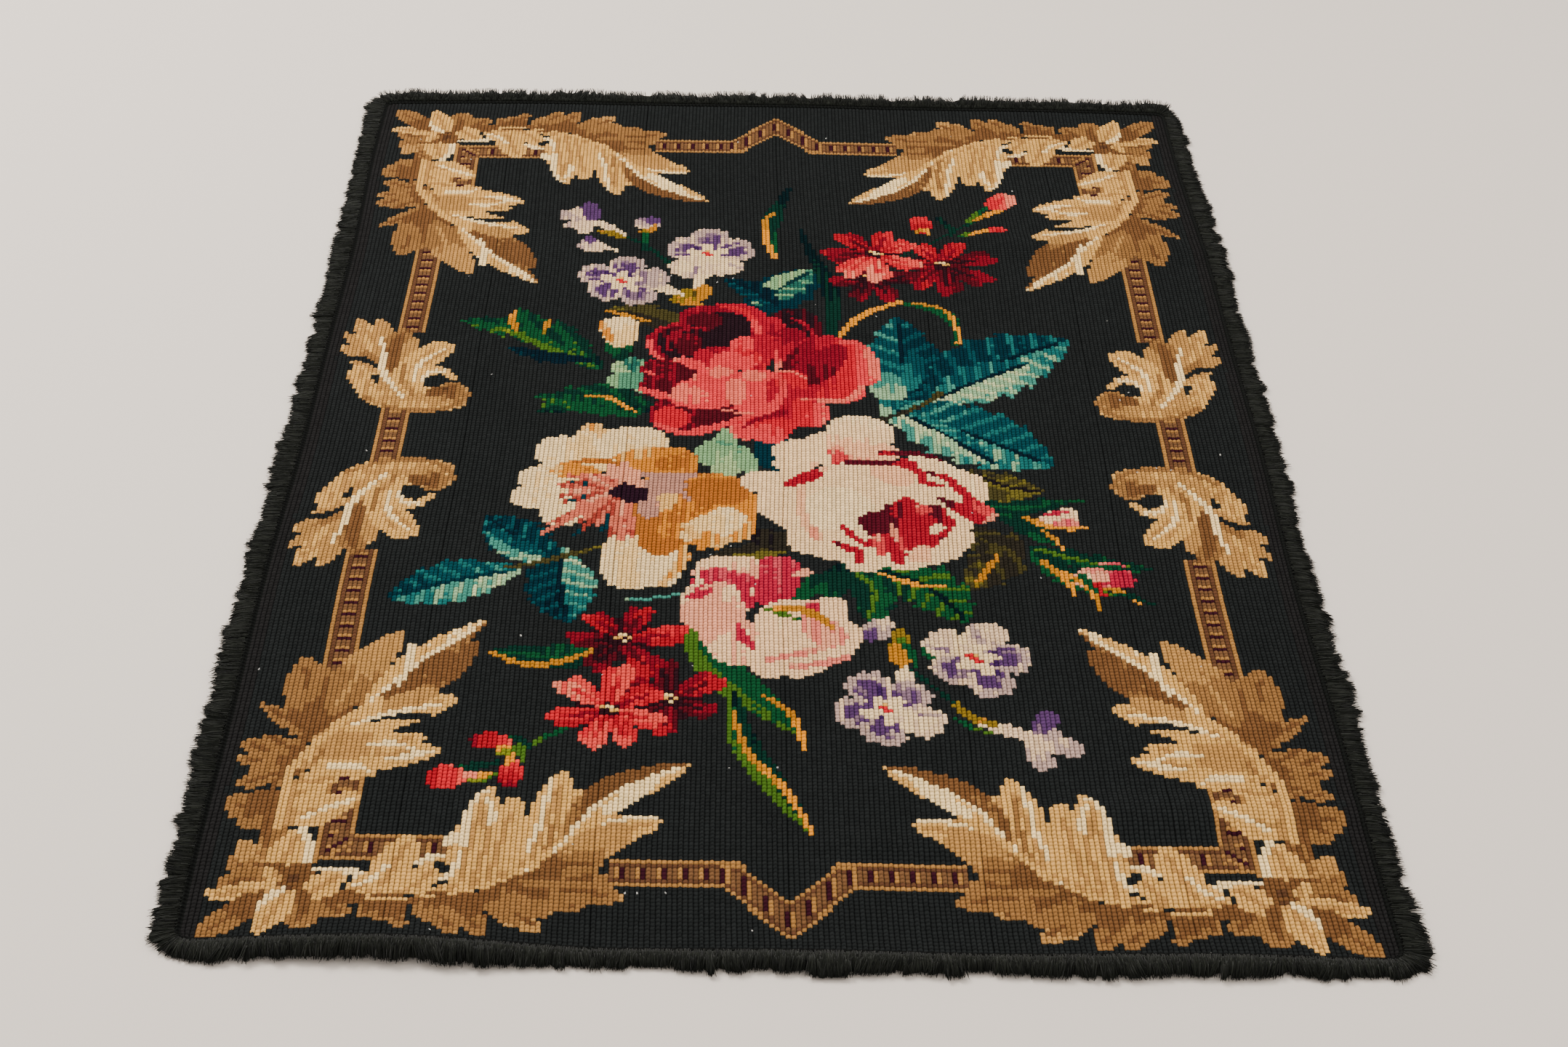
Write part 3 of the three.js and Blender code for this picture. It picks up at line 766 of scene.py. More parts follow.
# Leaves
def leaves_behind() -> tuple[Motif, ...]:
    """Leaves, blades and stems that lie under the flowers.

    Returns:
        The motifs, in the order of work.
    """
    t, m, g, o, b = Wool.TEAL, Wool.MINT, Wool.GREEN, Wool.OLIVE, Wool.GOLD
    return (
        leaf(t, (29, 12, 30, 30, 29, 55), 11, 1, 2.5, 0.5, 1, 0, 7, 1.4, teeth=(5, 0.2)),
        petal(t, 27, 16, 24, 30, 4.5, 5, 4), petal(t, 31, 22, 33, 38, 3, 3, 2),
        leaf(t, (36, 18, 53, 34, 72, 45), 13.5, 1, 1.5, 4.5, 3, 0, 8, 1.2, teeth=(6, 0.2), root=0.2),
        leaf(t, (37, 19, 50, 28, 62, 35), 7.5, 2.5, 2, 5.5, 4.5, 0.5, 7, 1.3, teeth=(5, 0.3), root=0.2),
        leaf(t, (27, 14, 44, 4, 63, -9), 12.5, 2.5, 1.5, 4.5, 3, 0, 8, 1.3, teeth=(6, 0.2)),
        leaf(t, (29, 12, 38, 4, 50, -9), 4.5, 3, 2, 6, 4.5, 0, 9, teeth=(5, 0.3)),
        stroke(o, 1.5, 1.5, 1.5, 1, 2, 24, 10, 32, 15, 38, 21),
        leaf(t, (-8, 57, 0, 66, 9, 77), 8.5, 0.5, 1, 1, 1, 0, teeth=(4, 0.2)),
        leaf(m, (-6, 61, 0, 68, 8, 77), 6, 3.5, 2.5, 1.5, 1, 0.5, 5, 1.3, teeth=(4, 0.3)),
        leaf(t, (-2, 60, -8, 67, -15, 72), 4.5, 1, 1, 0, 0.5, 0, 4, 0.8, teeth=(4, 0.3)),
        leaf(m, (-30, 20, -36, 28, -40, 36), 6.5, 3, 3.5, 2, 1.5, 1, 4, 0.9, teeth=(3, 0.2)),
        petal(m, -28, 26, -43, 24, 3.5, 1, 3), petal(t, -4, 4, 0, -12, 6, 1, 1, ruffle=(5, 0.3)),
        petal(m, -12, 2, -20, -9, 4, 3, 3.5), petal(m, -12, -1, -14, -15, 3.5, 3, 4),
        petal(m, -11, -2, -7, -13, 2.5, 2.5, 3.5), petal(m, -14, 5, -13.5, -2, 2, 3.5, 2),
        leaf(t, (-51, -46, -58, -40, -67, -31), 7.5, 1.5, 1, 1, 0.5, 0, 5, 1.6, teeth=(4, 0.2)),
        leaf(t, (-52, -46, -59, -43, -66, -36), 3.5, 5, 3, 2, 1.5, None, 6, 0.8),
        leaf(t, (-60, -51, -72, -55, -85, -61), 8, 5, 2.5, 2.5, 1, 1, 6, 1.2, teeth=(5, 0.2)),
        leaf(t, (-49, -45, -48, -56, -46, -68), 8.5, 4.5, 2, 1, 0.5, 0.5, 6, 1.4, teeth=(5, 0.2)),
        stroke(o, 1, 2, 1, 2, 2.5, -61, -50, -52, -47, -40, -41),
        stroke(t, 1, 1, 1, 4.5, 4, -34, -60, -28, -59, -21, -57),
        stroke(b, 1.5, 2.5, 1.5, 3, 2.5, 14, 44, 17, 51, 22, 57, 30, 62),
        stroke(g, 1.5, 3.5, 1.5, 2, 1.5, 32, 61, 40, 58, 44, 51, 43, 43),
        stroke(b, 1, 1.5, 1, 2, 3, 33, 62, 41, 59, 44, 50, 44, 43),
        stroke(g, 1, 5, 2, 0, 1, 5, 97, 8, 84, 12, 70, 13, 56, 12, 42),
        stroke(g, 2, 5.5, 1.5, 2, 0, -2, 84, -3, 96, -1, 106, 3, 118),
        stroke(b, 2, 2, 1, 3, 2, -2, 83, -4, 92, -4, 101, -1, 106),
        leaf(g, (-46, 31, -60, 44, -81, 50), 6.5, 1, 2, 0.5, 1, 1.5, 6, 1.4, teeth=(6, 0.4)),
        leaf(g, (-50, 34, -60, 45, -67, 56), 5, 2.5, 2, 1, 1.5, None, teeth=(4, 0.4)),
        leaf(g, (-47, 33, -52, 42, -57, 51), 3.5, 2.5, 2, 1, 1, None, teeth=(3, 0.4)),
        stroke(b, 1, 3, 1, 1.5, 3, -66, 45, -68, 50, -67, 55),
        stroke(b, 1, 2, 1, 1.5, 2.5, -59, 44, -59.5, 47.5, -58, 51),
        stroke(g, 1, 2.5, 1.5, 3.5, 2.5, -70, 46, -58, 38, -46, 30),
        leaf(t, (-48, 33, -58, 34, -68, 38), 3, 0, 0.5, 0, 0, None, teeth=(4, 0.4)),
        leaf(g, (-32, 13, -46, 17, -59, 10), 6.5, 0.5, 0.5, 1, 1.5, 1, 5, teeth=(5, 0.3)),
        leaf(g, (-35, 11, -46, 14, -60, 17), 4.5, 2, 2.5, 1.5, 1.5, None, teeth=(4, 0.3)),
        stroke(b, 1, 2, 1, 2, 3, -48, 18, -42, 17, -35, 11),
        leaf(o, (-24, 48, -34, 54, -44, 57), 5.5, 1, 1.5, 2, 2.5, None, teeth=(4, 0.3)),
        stroke(b, 1, 2, 1, 1.5, 2, -45, 56, -40, 54, -33, 51),
        petal(g, -40, 33, -41, 45, 4, 1, 2.5, ruffle=(5, 0.3)),
        petal(Wool.CREAM, -40, 39, -41, 53, 5, 3.5, 5),
        stroke(Wool.CREAM, 1.5, 2.5, 1.5, 2.5, 2, -45.5, 50, -44, 46, -42.5, 42),
        leaf(g, (-34, -72, -45, -79, -62, -78), 4, 0.5, 1, 2, 1, 2.5),
        stroke(b, 1, 2, 1, 2, 1.5, -62, -78, -54, -82, -45, -80, -38, -75),
        leaf(g, (-18, -66, -15, -80, 4, -103), 4.5, 1.5, 2, 3, 2.5, 1.5),
        stroke(b, 1, 2, 1, 2, 3, -5, -90, 1, -96, 4, -107),
        leaf(g, (-11, -90, -8, -106, 5, -131), 3, 0.5, 1, 2.5, 3, None),
        stroke(b, 1, 2, 1, 2, 3, -11, -95, -8, -107, 0, -119, 5, -131),
        leaf(g, (14, -47, 20, -55, 18, -66), 6, 1.5, 2, 1, 1.5, 3, teeth=(4, 0.3)),
        leaf(g, (20, -47, 32, -54, 40, -66), 8.5, 1.5, 2, 1, 2, 0.5, 6, 1.2, teeth=(5, 0.3)),
        stroke(b, 1, 2, 1, 2.5, 3, 21, -49, 29, -53, 36, -54), petal(g, 14, -46, 10, -58, 3.5, 0.5, 1.5),
        petal(g, 3, -60, 9, -50, 2.5, 2.5, 1),
        leaf(o, (-14, -44, -4, -42, 4, -37), 4, 1, 2, 3, 2.5, None, teeth=(3, 0.3)),
        petal(o, -8, -36, 4, -40, 3.5, 0.5, 1),
        leaf(o, (44, -12, 52, -17, 60, -19), 5, 1.5, 2, 2.5, 3, 0.5, 4, teeth=(3, 0.3)),
        petal(o, 44, -17, 52, -26, 4, 2, 2.5),
        leaf(o, (42, -34, 48, -42, 41, -55), 7.5, 1, 1.5, 0.5, 2, 2.5, 4, teeth=(4, 0.3)),
        stroke(b, 1, 2, 1, 1.5, 2.5, 42, -54, 45, -48, 48, -42),
    )


def rosebuds() -> tuple[Motif, ...]:
    """The two rosebuds on the right with their feathered sepals.

    Returns:
        The motifs, in the order of work.
    """
    g, b, p = Wool.GREEN, Wool.GOLD, Wool.PINK
    return (
        leaf(g, (44, -24, 55, -25, 66, -22), 3.5, 1, 1.5, 1, 1, 2, teeth=(3, 0.4)),
        leaf(g, (50, -28, 56, -33, 61, -39), 3.5, 1.5, 1, 1, 2, None, teeth=(3, 0.4)),
        petal(p, 57, -31, 67, -27, 3, 4.5, 5.5), petal(p, 60, -32, 67, -31, 2, 2, 3),
        stroke(p, 1, 1.5, 1, 1, 1.5, 60, -27.5, 64, -26.5),
        stroke(b, 1, 2.5, 1, 2, 3, 54, -28, 58, -31, 62, -33),
        stroke(b, 1, 1.5, 1, 2.5, 3, 62, -32.5, 65, -33, 68, -32.5),
        stroke(b, 1, 1.5, 1, 1.5, 3, 58, -33, 60.5, -36, 62.5, -40),
        stroke(g, 1, 1.5, 1, 1, 2, 60, -25, 64, -23, 68, -22.5),
        leaf(g, (56, -40, 68, -45, 82, -48), 3.5, 1, 1.5, 1, 2, 3, teeth=(4, 0.4)),
        leaf(g, (56, -42, 62, -49, 68, -56), 4, 1, 1.5, 2, 2, None, teeth=(4, 0.4)),
        petal(p, 64, -52, 77, -48, 4.5, 4, 1.5, tilt=0.4), petal(p, 70, -51, 77.5, -51.5, 3, 1, 1),
        petal(p, 66, -52, 72, -49.5, 2, 5, 4), stroke(g, 1, 2, 1, 2, 1, 66, -46, 73, -47, 80, -48),
        stroke(b, 1.5, 2, 1, 2, 3, 58, -45, 62, -51, 64, -57),
        stroke(b, 1.5, 2, 1, 2.5, 2.5, 62, -49, 67, -54, 69, -62),
        stroke(b, 1, 2, 1, 2, 3, 68, -55, 73, -55, 78, -60),
        stroke(g, 1.5, 2, 1, 1.5, 3, 66, -50, 69, -55, 72, -57),
        stroke(Wool.RED, 1.5, 1.5, 1, 3, 3, 69, -52.5, 70, -56.5),
        stroke(g, 1, 1.5, 1, 1.5, 1, 72, -56, 76, -57, 80, -59.5),
    )


# The frame
@dataclass(frozen=True)
class FrameBand:
    """The narrow tan band with its small maroon bars: a corner square, short and long runs.

    Attributes:
        half: Stitches on each side of its middle one.
        bars: Stitches from one bar to the next.
        core: Half width of a bar.
        floor: Height of its lower edge at the short edge's middle, in stitches.
        crest: Height of its upper edge there.
        slope: Rise of the chevron for each stitch across.
    """

    half: int = 3
    bars: int = 4
    core: float = 1.5
    floor: float = 138.4
    crest: float = 145.0
    slope: float = 1.08

    def run(
        self, chart: Chart, start: Point, end: Point, first: float, ends: tuple[float, float],
    ) -> None:
        """Works a length of band in whole stitches.

        Args:
            chart: The stitch chart.
            start: One end of its middle line.
            end: The other end, mostly along x or mostly along y.
            first: Place of a bar along that axis.
            ends: Lowest and highest place that it covers along that axis.
        """
        line = np.array([start, end], float)
        x, y, cells = chart.window(line, self.half + 2)
        upright = abs(end[1] - start[1]) > abs(end[0] - start[0])
        along, across = (y, x) if upright else (x, y)
        low, high = (line[:, ::-1] if upright else line)[np.argsort(line[:, int(upright)])]
        middle = low[1] + (high[1] - low[1]) * (along - low[0]) / (high[0] - low[0])
        side = np.rint(across - np.floor(middle) - 0.5)
        wide = np.abs(side)
        shade = np.choose(np.clip(wide, 0, self.half).astype(int), (2, 2, 1, 3))
        shade = self.barred(shade, (np.floor(along) - first) % self.bars, wide < self.core)
        mask = (wide <= self.half) & (along > ends[0]) & (along < ends[1])
        chart.lay(cells, mask, Wool.BAND, shade)

    def barred(self, shade: np.ndarray, place: np.ndarray, inner: np.ndarray) -> np.ndarray:
        """Sets the dark bars into the band's inner stitches, with a light one before each."""
        shade = np.where(inner & (place == 0), 0, shade)
        return np.where(inner & (place == self.bars - 1), 3, shade)

    def chevron(self, chart: Chart) -> None:
        """Works the pointed rise at the middle of a short edge, stepping with its slope.

        Args:
            chart: The stitch chart.
        """
        x, y, cells = chart.window(np.array([(-14, 138), (14, 159)], float), 0)
        out = np.abs(x)
        crest = np.where(out > 12, self.crest, self.crest + (12.6 - out) * self.slope)
        floor = np.where(out > 9.5, self.floor, self.floor + (9.5 - out) * self.slope)
        depth = np.minimum(crest - y, y - floor)
        mask = (depth > 0) & (out < 13.5)
        shade = np.where(depth < 1.2, 3, np.where(depth < 2.4, 1, 2))
        inner = np.abs(y - (crest + floor) / 2) < 2.1
        shade = self.barred(shade, np.floor(x) % self.bars, inner)
        chart.lay(cells, mask, Wool.BAND, shade)

    def paint(self, chart: Chart) -> None:
        """Works all the runs of one quarter.

        Args:
            chart: The stitch chart.
        """
        self.run(chart, (-86.4, 113), (-86.4, 136), 1, (113, 140))
        self.run(chart, (-86, 136.6), (-60, 136.4), 0, (-83, -60))
        for step, shade in enumerate((3, 1)):
            out, high = -89.5 + step, 139.6 - step
            corner = ((out, 130), (out, high - 0.3), (out + 0.3, high), (-82, high))
            Stroke(Wool.BAND, corner, (1, 1, 1), shade, shade).paint(chart)
        Petal(Wool.BAND, (-88, 135), (-83, 135), 2.6, (2, 2), streak=0, blunt=4).paint(chart)
        Stroke(Wool.BAND, ((-88, 138), (-84.6, 134.6)), (1.4, 1.4, 1.4), 0, 0).paint(chart)
        Stroke(Wool.BAND, ((-86.5, 138.2), (-83.4, 135.4)), (1, 1, 1), 3, 3).paint(chart)
        self.run(chart, (-92.9, 88), (-92.9, 44), 2, (44, 88))
        self.run(chart, (-92.9, 11), (-92.9, 0), 2, (0, 11))
        self.run(chart, (-34, 141.5), (-12, 141.5), 0, (-34, -11))
        self.chevron(chart)


def lobe(
    x0: float, y0: float, x1: float, y1: float, wide: float, dark: float, light: float,
    blunt: float = 1.6, bend: float = 0, full: float = 0.45,
) -> Petal:
    """One pointed lobe of a scroll leaf, with a darker vein along its middle."""
    vein = None if wide < 2.4 else 0.9 if dark + light < 5 else 2.8
    return Petal(
        Wool.TAN, (x0, y0), (x1, y1), wide, (dark, light), blunt=blunt, bend=bend, full=full,
        streak=0.1, vein=vein,
    )


def crease(shade: float, *places: float, wide: float = 1.2) -> Stroke:
    """A fine line of one shade inside or along a lobe."""
    return Stroke(Wool.TAN, points(places), (1, wide, 1), shade, shade)


def gap(*places: float, wide: float = 2.4) -> Stroke:
    """A wedge of ground between two lobes, wide outside and closing toward the rib."""
    return Stroke(Wool.GROUND, points(places), (wide, 0.7 * wide, 1))


def corner_flower() -> tuple[Motif, ...]:
    """The rosette at the outer corner.

    Returns:
        The motifs, in the order of work.
    """
    w = Wool.TAN
    return (
        lobe(-91, 143, -90, 159, 4.5, 1, 2.5, 2.4), lobe(-90, 147, -82, 156, 3.5, 1.5, 2.5, 1.8),
        lobe(-92, 143, -107, 147, 4, 1, 2.5, 2.2), lobe(-94, 142, -106, 141, 4, 1.5, 2.5, 2.6),
        lobe(-98, 143, -105, 135, 3, 2, 3), lobe(-88, 149, -79, 151, 2, 0.5, 1, 2.6),
        lobe(-90, 150, -84, 143, 3.5, 3.5, 4),
        stroke(w, 1, 1.5, 2.5, 5, 5, -89.5, 142.5, -85, 142.5, -81.5, 143.5),
        lobe(-97, 146, -93, 131, 4, 3.5, 4), stroke(w, 1, 1.5, 2, 5, 5, -91, 141, -91, 136, -93, 132),
        lobe(-94, 148, -109.5, 149.5, 2.5, 3.5, 4), lobe(-97, 149, -109, 161, 3.5, 1, 2, 1.8),
        lobe(-93, 146, -98, 161, 3.5, 3.5, 4), crease(5, -98.5, 153, -97, 150, -93.5, 147, wide=1.6),
        lobe(-91, 141, -94, 147.5, 2.5, 1, 0.5, 2.4),
        stroke(w, 1, 2, 2, 1.5, 0.5, -101, 141, -96, 142, -93, 145),
        lobe(-91, 148, -89.5, 155, 1.5, 1, 1.5),
    )


def long_leaf() -> tuple[Motif, ...]:
    """The leaf that runs along the short edge, its outer lobes brown, its inner ones pale.

    Returns:
        The motifs, in the order of work.
    """
    w = Wool.TAN
    return (
        lobe(-77, 148, -79, 156.5, 2.5, 1, 2), lobe(-77, 149, -74.5, 157.5, 3, 1, 2),
        lobe(-76, 148, -71, 159, 3, 0.5, 2), gap(-68.5, 160, -70, 156, -70.5, 152.5, wide=2.2),
        lobe(-68, 148, -66.5, 157, 3, 1.5, 2.5, 1.8), lobe(-67, 148, -62, 160, 3, 1, 2.5, 1.8),
        lobe(-66, 147, -56, 160, 3.5, 1, 2.5), lobe(-63, 147, -54.5, 156, 3, 0.5, 2),
        gap(-52, 159, -54.5, 155.5, -57, 152, wide=3.2), lobe(-57, 147, -50, 157, 3, 1, 3, 1.8),
        lobe(-57, 146, -46, 158, 3.5, 1, 3, 1.8), gap(-42, 156, -46, 154, -50, 151),
        lobe(-54, 146, -44, 153, 4, 1.5, 2.5, 1.8), lobe(-52, 145, -38, 151, 4, 2, 2.5),
        lobe(-53, 144, -31, 148, 4.5, 1, 2.5), lobe(-52, 143, -34, 143, 3.5, 1.5, 2.5),
        lobe(-50, 141, -35, 139, 3.5, 1, 2), gap(-34, 135.5, -40, 137, wide=1),
        lobe(-44, 137, -30, 132, 4, 2, 3), lobe(-43, 134, -24, 127, 4, 2.5, 4),
        crease(5, -38, 129, -32, 127, -25, 126), lobe(-83, 149.5, -75.5, 141.5, 2.5, 4, 4),
        lobe(-77, 149, -72, 133, 4, 4, 4, 1.8), lobe(-72, 149, -64, 138, 3, 4, 4),
        crease(5, -82, 147, -78, 144.5, -76, 141.5), crease(5, -71, 141, -68, 139, -64.5, 138.5, wide=1.6),
        lobe(-62, 148, -58, 119, 3.5, 4, 4, 2.2, bend=-0.6), lobe(-57, 147, -53, 122, 4, 4, 4, 2.2),
        petal(Wool.GROUND, -67, 140.5, -63, 143.5, 1.2, 0, 0),
        crease(5, -66, 145, -63.5, 142.5, -62.5, 138, wide=1.6),
        stroke(w, 2, 2.5, 2, 5, 5, -65, 135.5, -64, 132.5),
        crease(5, -62, 136, -62, 127, -60, 121, -58, 120, wide=1.5),
        crease(5, -58, 131, -57, 127, -58.5, 122.5, wide=1.6),
        crease(3, -60, 146, -58, 138, -58, 130, -60, 123), gap(-50, 117, -50, 125, -50, 133, wide=2.6),
        lobe(-50, 142, -44, 114, 4, 4, 4, 2, bend=0.4), lobe(-45, 137, -40.5, 119, 3, 4, 3.5, 1.8),
        crease(5, -50, 137, -48, 130, -47, 122, -46, 116, wide=1.5),
        crease(2.5, -47, 139, -45, 130, -45, 120),
        leaf(w, (-42, 131, -34, 120, -19, 111), 4.5, 4, 4, 1.5, 1, 5),
        lobe(-36, 125.5, -25, 115.5, 2, 5, 4.5),
        stroke(w, 1, 2, 1, 3.5, 3.5, -80, 149, -64, 147, -54, 143, -44, 134),
        stroke(w, 1.5, 1, 1, 4, 4.5, -84, 150, -68, 150, -57, 146, -49, 141, -41, 131),
        stroke(w, 1, 1.5, 1, 1.5, 1, -84, 152, -70, 151, -58, 148, -50, 143),
    )


def tall_leaf() -> tuple[Motif, ...]:
    """The leaf that runs down the long edge.

    Returns:
        The motifs, in the order of work.
    """
    w = Wool.TAN
    return (
        stroke(w, 4.5, 5, 5, 1.5, 1.5, -97, 144, -98, 138, -98, 131),
        lobe(-96, 126, -109, 125, 5, 0.5, 2, 2.2), lobe(-97, 129, -105.5, 131, 2, 1, 2, 2.4),
        lobe(-96, 114, -108, 120, 3.5, 1, 2.5), lobe(-95, 113, -109, 112, 3, 1, 2.5, 1.8),
        lobe(-95, 113, -109, 107, 3.5, 1, 2.5), lobe(-95, 112, -105, 104, 3.5, 1, 2.5),
        gap(-109, 121, -104, 121, -100, 119, wide=1.6), gap(-108, 104, -103, 104, -98, 106),
        lobe(-92, 107, -107, 95.5, 2.5, 1, 2.5), gap(-105, 103, -101, 103.5, wide=1.6),
        lobe(-95, 105, -100, 81, 5, 1, 2.5, 1.8), lobe(-94, 104, -95, 84, 3.5, 1, 2, 2),
        lobe(-92, 102, -90, 82, 3, 1, 2.5, 1.8), lobe(-92, 99, -80, 72, 5, 2, 3, bend=-1.6),
        lobe(-87, 96, -64, 75, 4.5, 2, 1, bend=2.6),
        leaf(w, (-85, 95, -76, 82, -63, 68), 4, 1, 1.5, 4, 4.5, 5),
        crease(5, -80, 90, -78, 84, -78, 76, wide=1.6),
        lobe(-98, 128, -83, 122, 4.5, 4, 4, bend=1.2, full=0.3), lobe(-98, 124, -90, 118, 3.5, 4, 4, 1.8),
        lobe(-97, 119, -87, 115, 2.5, 4, 4, 1.8, bend=1), crease(5, -94, 129, -91, 127, -84, 123, wide=1.4),
        lobe(-97, 112, -81, 116, 3, 3.5, 4, 2.2), lobe(-97, 112, -69, 109, 5, 3.5, 4, full=0.5),
        lobe(-95, 109, -77, 99, 4.5, 3, 4), lobe(-94, 110, -72, 105, 3.5, 3, 4),
        crease(5, -91, 114, -85, 114, -82, 116, wide=1.5),
        crease(5, -80, 112, -76, 111, -70, 109, wide=2.4),
        crease(5, -84, 108, -79, 107, -74, 109, wide=1.5),
        lobe(-92, 102, -67, 93, 4.5, 3.5, 4, bend=0.8, full=0.5), lobe(-82, 97, -70.5, 90.5, 3, 3, 2.5),
        gap(-73, 99, -79, 99, -84, 101, wide=2), crease(5, -88, 102, -80, 98, -70, 95, wide=1.5),
        stroke(w, 2.5, 2, 1.5, 4, 4, -98, 131, -98, 122, -97, 113, -91, 103, -83, 94),
        stroke(w, 1.5, 1, 1, 3, 2.5, -96, 130, -96, 118, -92, 109),
        stroke(w, 1, 1, 1, 1.5, 1, -100, 130, -100, 118, -96, 106, -87, 95),
    )


def clasp() -> tuple[Motif, ...]:
    """The curled leaf that clasps the long edge's band.

    Returns:
        The motifs, in the order of work.
    """
    w = Wool.TAN
    return (
        stroke(w, 5, 5.5, 5, 3.5, 3.5, -92, 13, -98, 15, -101, 20, -104, 25),
        lobe(-102, 22, -103, 30, 3, 3.5, 4, 2.2), lobe(-95, 26, -107, 35, 3.5, 3.5, 3.5, 1.8),
        lobe(-96, 28, -109, 38, 3.5, 3, 3.5), lobe(-96, 30, -109, 43.5, 3, 2, 3),
        lobe(-96, 32, -107, 50, 3.5, 3.5, 3.5), lobe(-97, 32, -101, 50, 3, 2.5, 3.5, 1.8),
        lobe(-98, 34, -93.5, 46, 3, 2, 1.5, 2),
        stroke(Wool.GROUND, 2, 2.5, 1, 0, 0, -109, 32, -103, 32, -99, 28),
        lobe(-92, 11, -94, 33, 5, 3.5, 3, 2.4), lobe(-96, 26, -95, 43, 2, 1.5, 1, 2.2),
        lobe(-92, 27, -91.5, 42, 2.5, 3, 3.5, 1.8), lobe(-93, 20, -84, 40, 4, 3.5, 4, 2, bend=1),
        lobe(-90, 26, -81.5, 38.5, 2.5, 3.5, 4, 2.2), lobe(-92, 14, -84, 29, 3.5, 3.5, 4, 2.2, bend=2),
        lobe(-99, 15, -76, 15, 5, 3.5, 3.5, 2.8, full=0.7), lobe(-86, 13, -77, 21, 4, 3, 2.5, 2.2),
        lobe(-80, 14, -80, 22, 3, 2.5, 2, 2.4),
        stroke(w, 1.5, 1.5, 1.5, 2.5, 2, -100, 15, -93, 11, -84, 10, -78, 13, -76, 17),
        petal(Wool.GROUND, -87.5, 20.5, -82, 25, 2, 0, 0), lobe(-85.5, 16, -81.5, 20, 2, 1, 0.5, 2.2),
        stroke(w, 2, 2.5, 2, 4, 4, -88, 19, -88, 25, -83, 27, -80, 24),
        crease(5, -88, 22, -86, 26.5, -82.5, 27),
        stroke(w, 1, 2, 1, 5, 5, -100, 42, -98, 34, -97, 25, -91, 15),
        stroke(w, 1, 1.5, 1, 5, 5, -90, 22, -89, 29, -86, 34, -83, 37),
        stroke(w, 1, 1.5, 1, 2.5, 2.5, -93, 30, -92, 22, -88, 15),
    )


def draw_rug(chart: Chart) -> None:
    """Works the whole chart: the frame's quarters, the leaves, then the flowers.

    Args:
        chart: The stitch chart.
    """
    selvedge = np.abs(chart.x) > COLUMNS / 2 - SELVEDGE_COLUMNS
    chart.ink[:, selvedge] = FIRST_DYE[Wool.SELVEDGE]
    for mirror in ((1, 1), (-1, 1), (1, -1), (-1, -1)):
        chart.mirror = mirror
        FrameBand().paint(chart)
        for motifs in (long_leaf, tall_leaf, corner_flower, clasp):
            work(chart, motifs())
    chart.mirror = (1, 1)
    work(chart, leaves_behind())
    small_flowers(chart)
    for motifs in (rosebuds, pink_rose, dog_rose, white_rose, red_rose):
        work(chart, motifs())


# How the rug lies
@dataclass(frozen=True)
class Wave:
    """A slow wave of the cloth in its own plane, left by uneven stretching.

    Attributes:
        shift: Axis that it moves, 0 for x and 1 for y.
        along: Axis along which it runs.
        high: Its height in metres.
        turns: Half turns between the middle and an edge.
        phase: Its start in radians.
    """

    shift: int
    along: int
    high: float
    turns: float
    phase: float


@dataclass(frozen=True)
class Lift:
    """A place where the cloth stands off the floor, a smooth elliptic swelling.

    Attributes:
        x: Its middle.
        y: Its middle.
        long: Its half length.
        wide: Its half width.
        turn: Its turn in degrees.
        high: How high it stands.
    """

    x: float
    y: float
    long: float
    wide: float
    turn: float
    high: float

    def height(self, x: np.ndarray, y: np.ndarray) -> np.ndarray:
        """Height of the lift: high times the square of one less the squared ellipse radius.

        Args:
            x: Places across the lying cloth.
            y: Places along it.

        Returns:
            The heights in metres.
        """
        turn = math.radians(self.turn)
        dx, dy = x - self.x, y - self.y
        u = (dx * math.cos(turn) + dy * math.sin(turn)) / self.long
        v = (dy * math.cos(turn) - dx * math.sin(turn)) / self.wide
        return self.high * np.maximum(0.0, 1 - u * u - v * v) ** 2


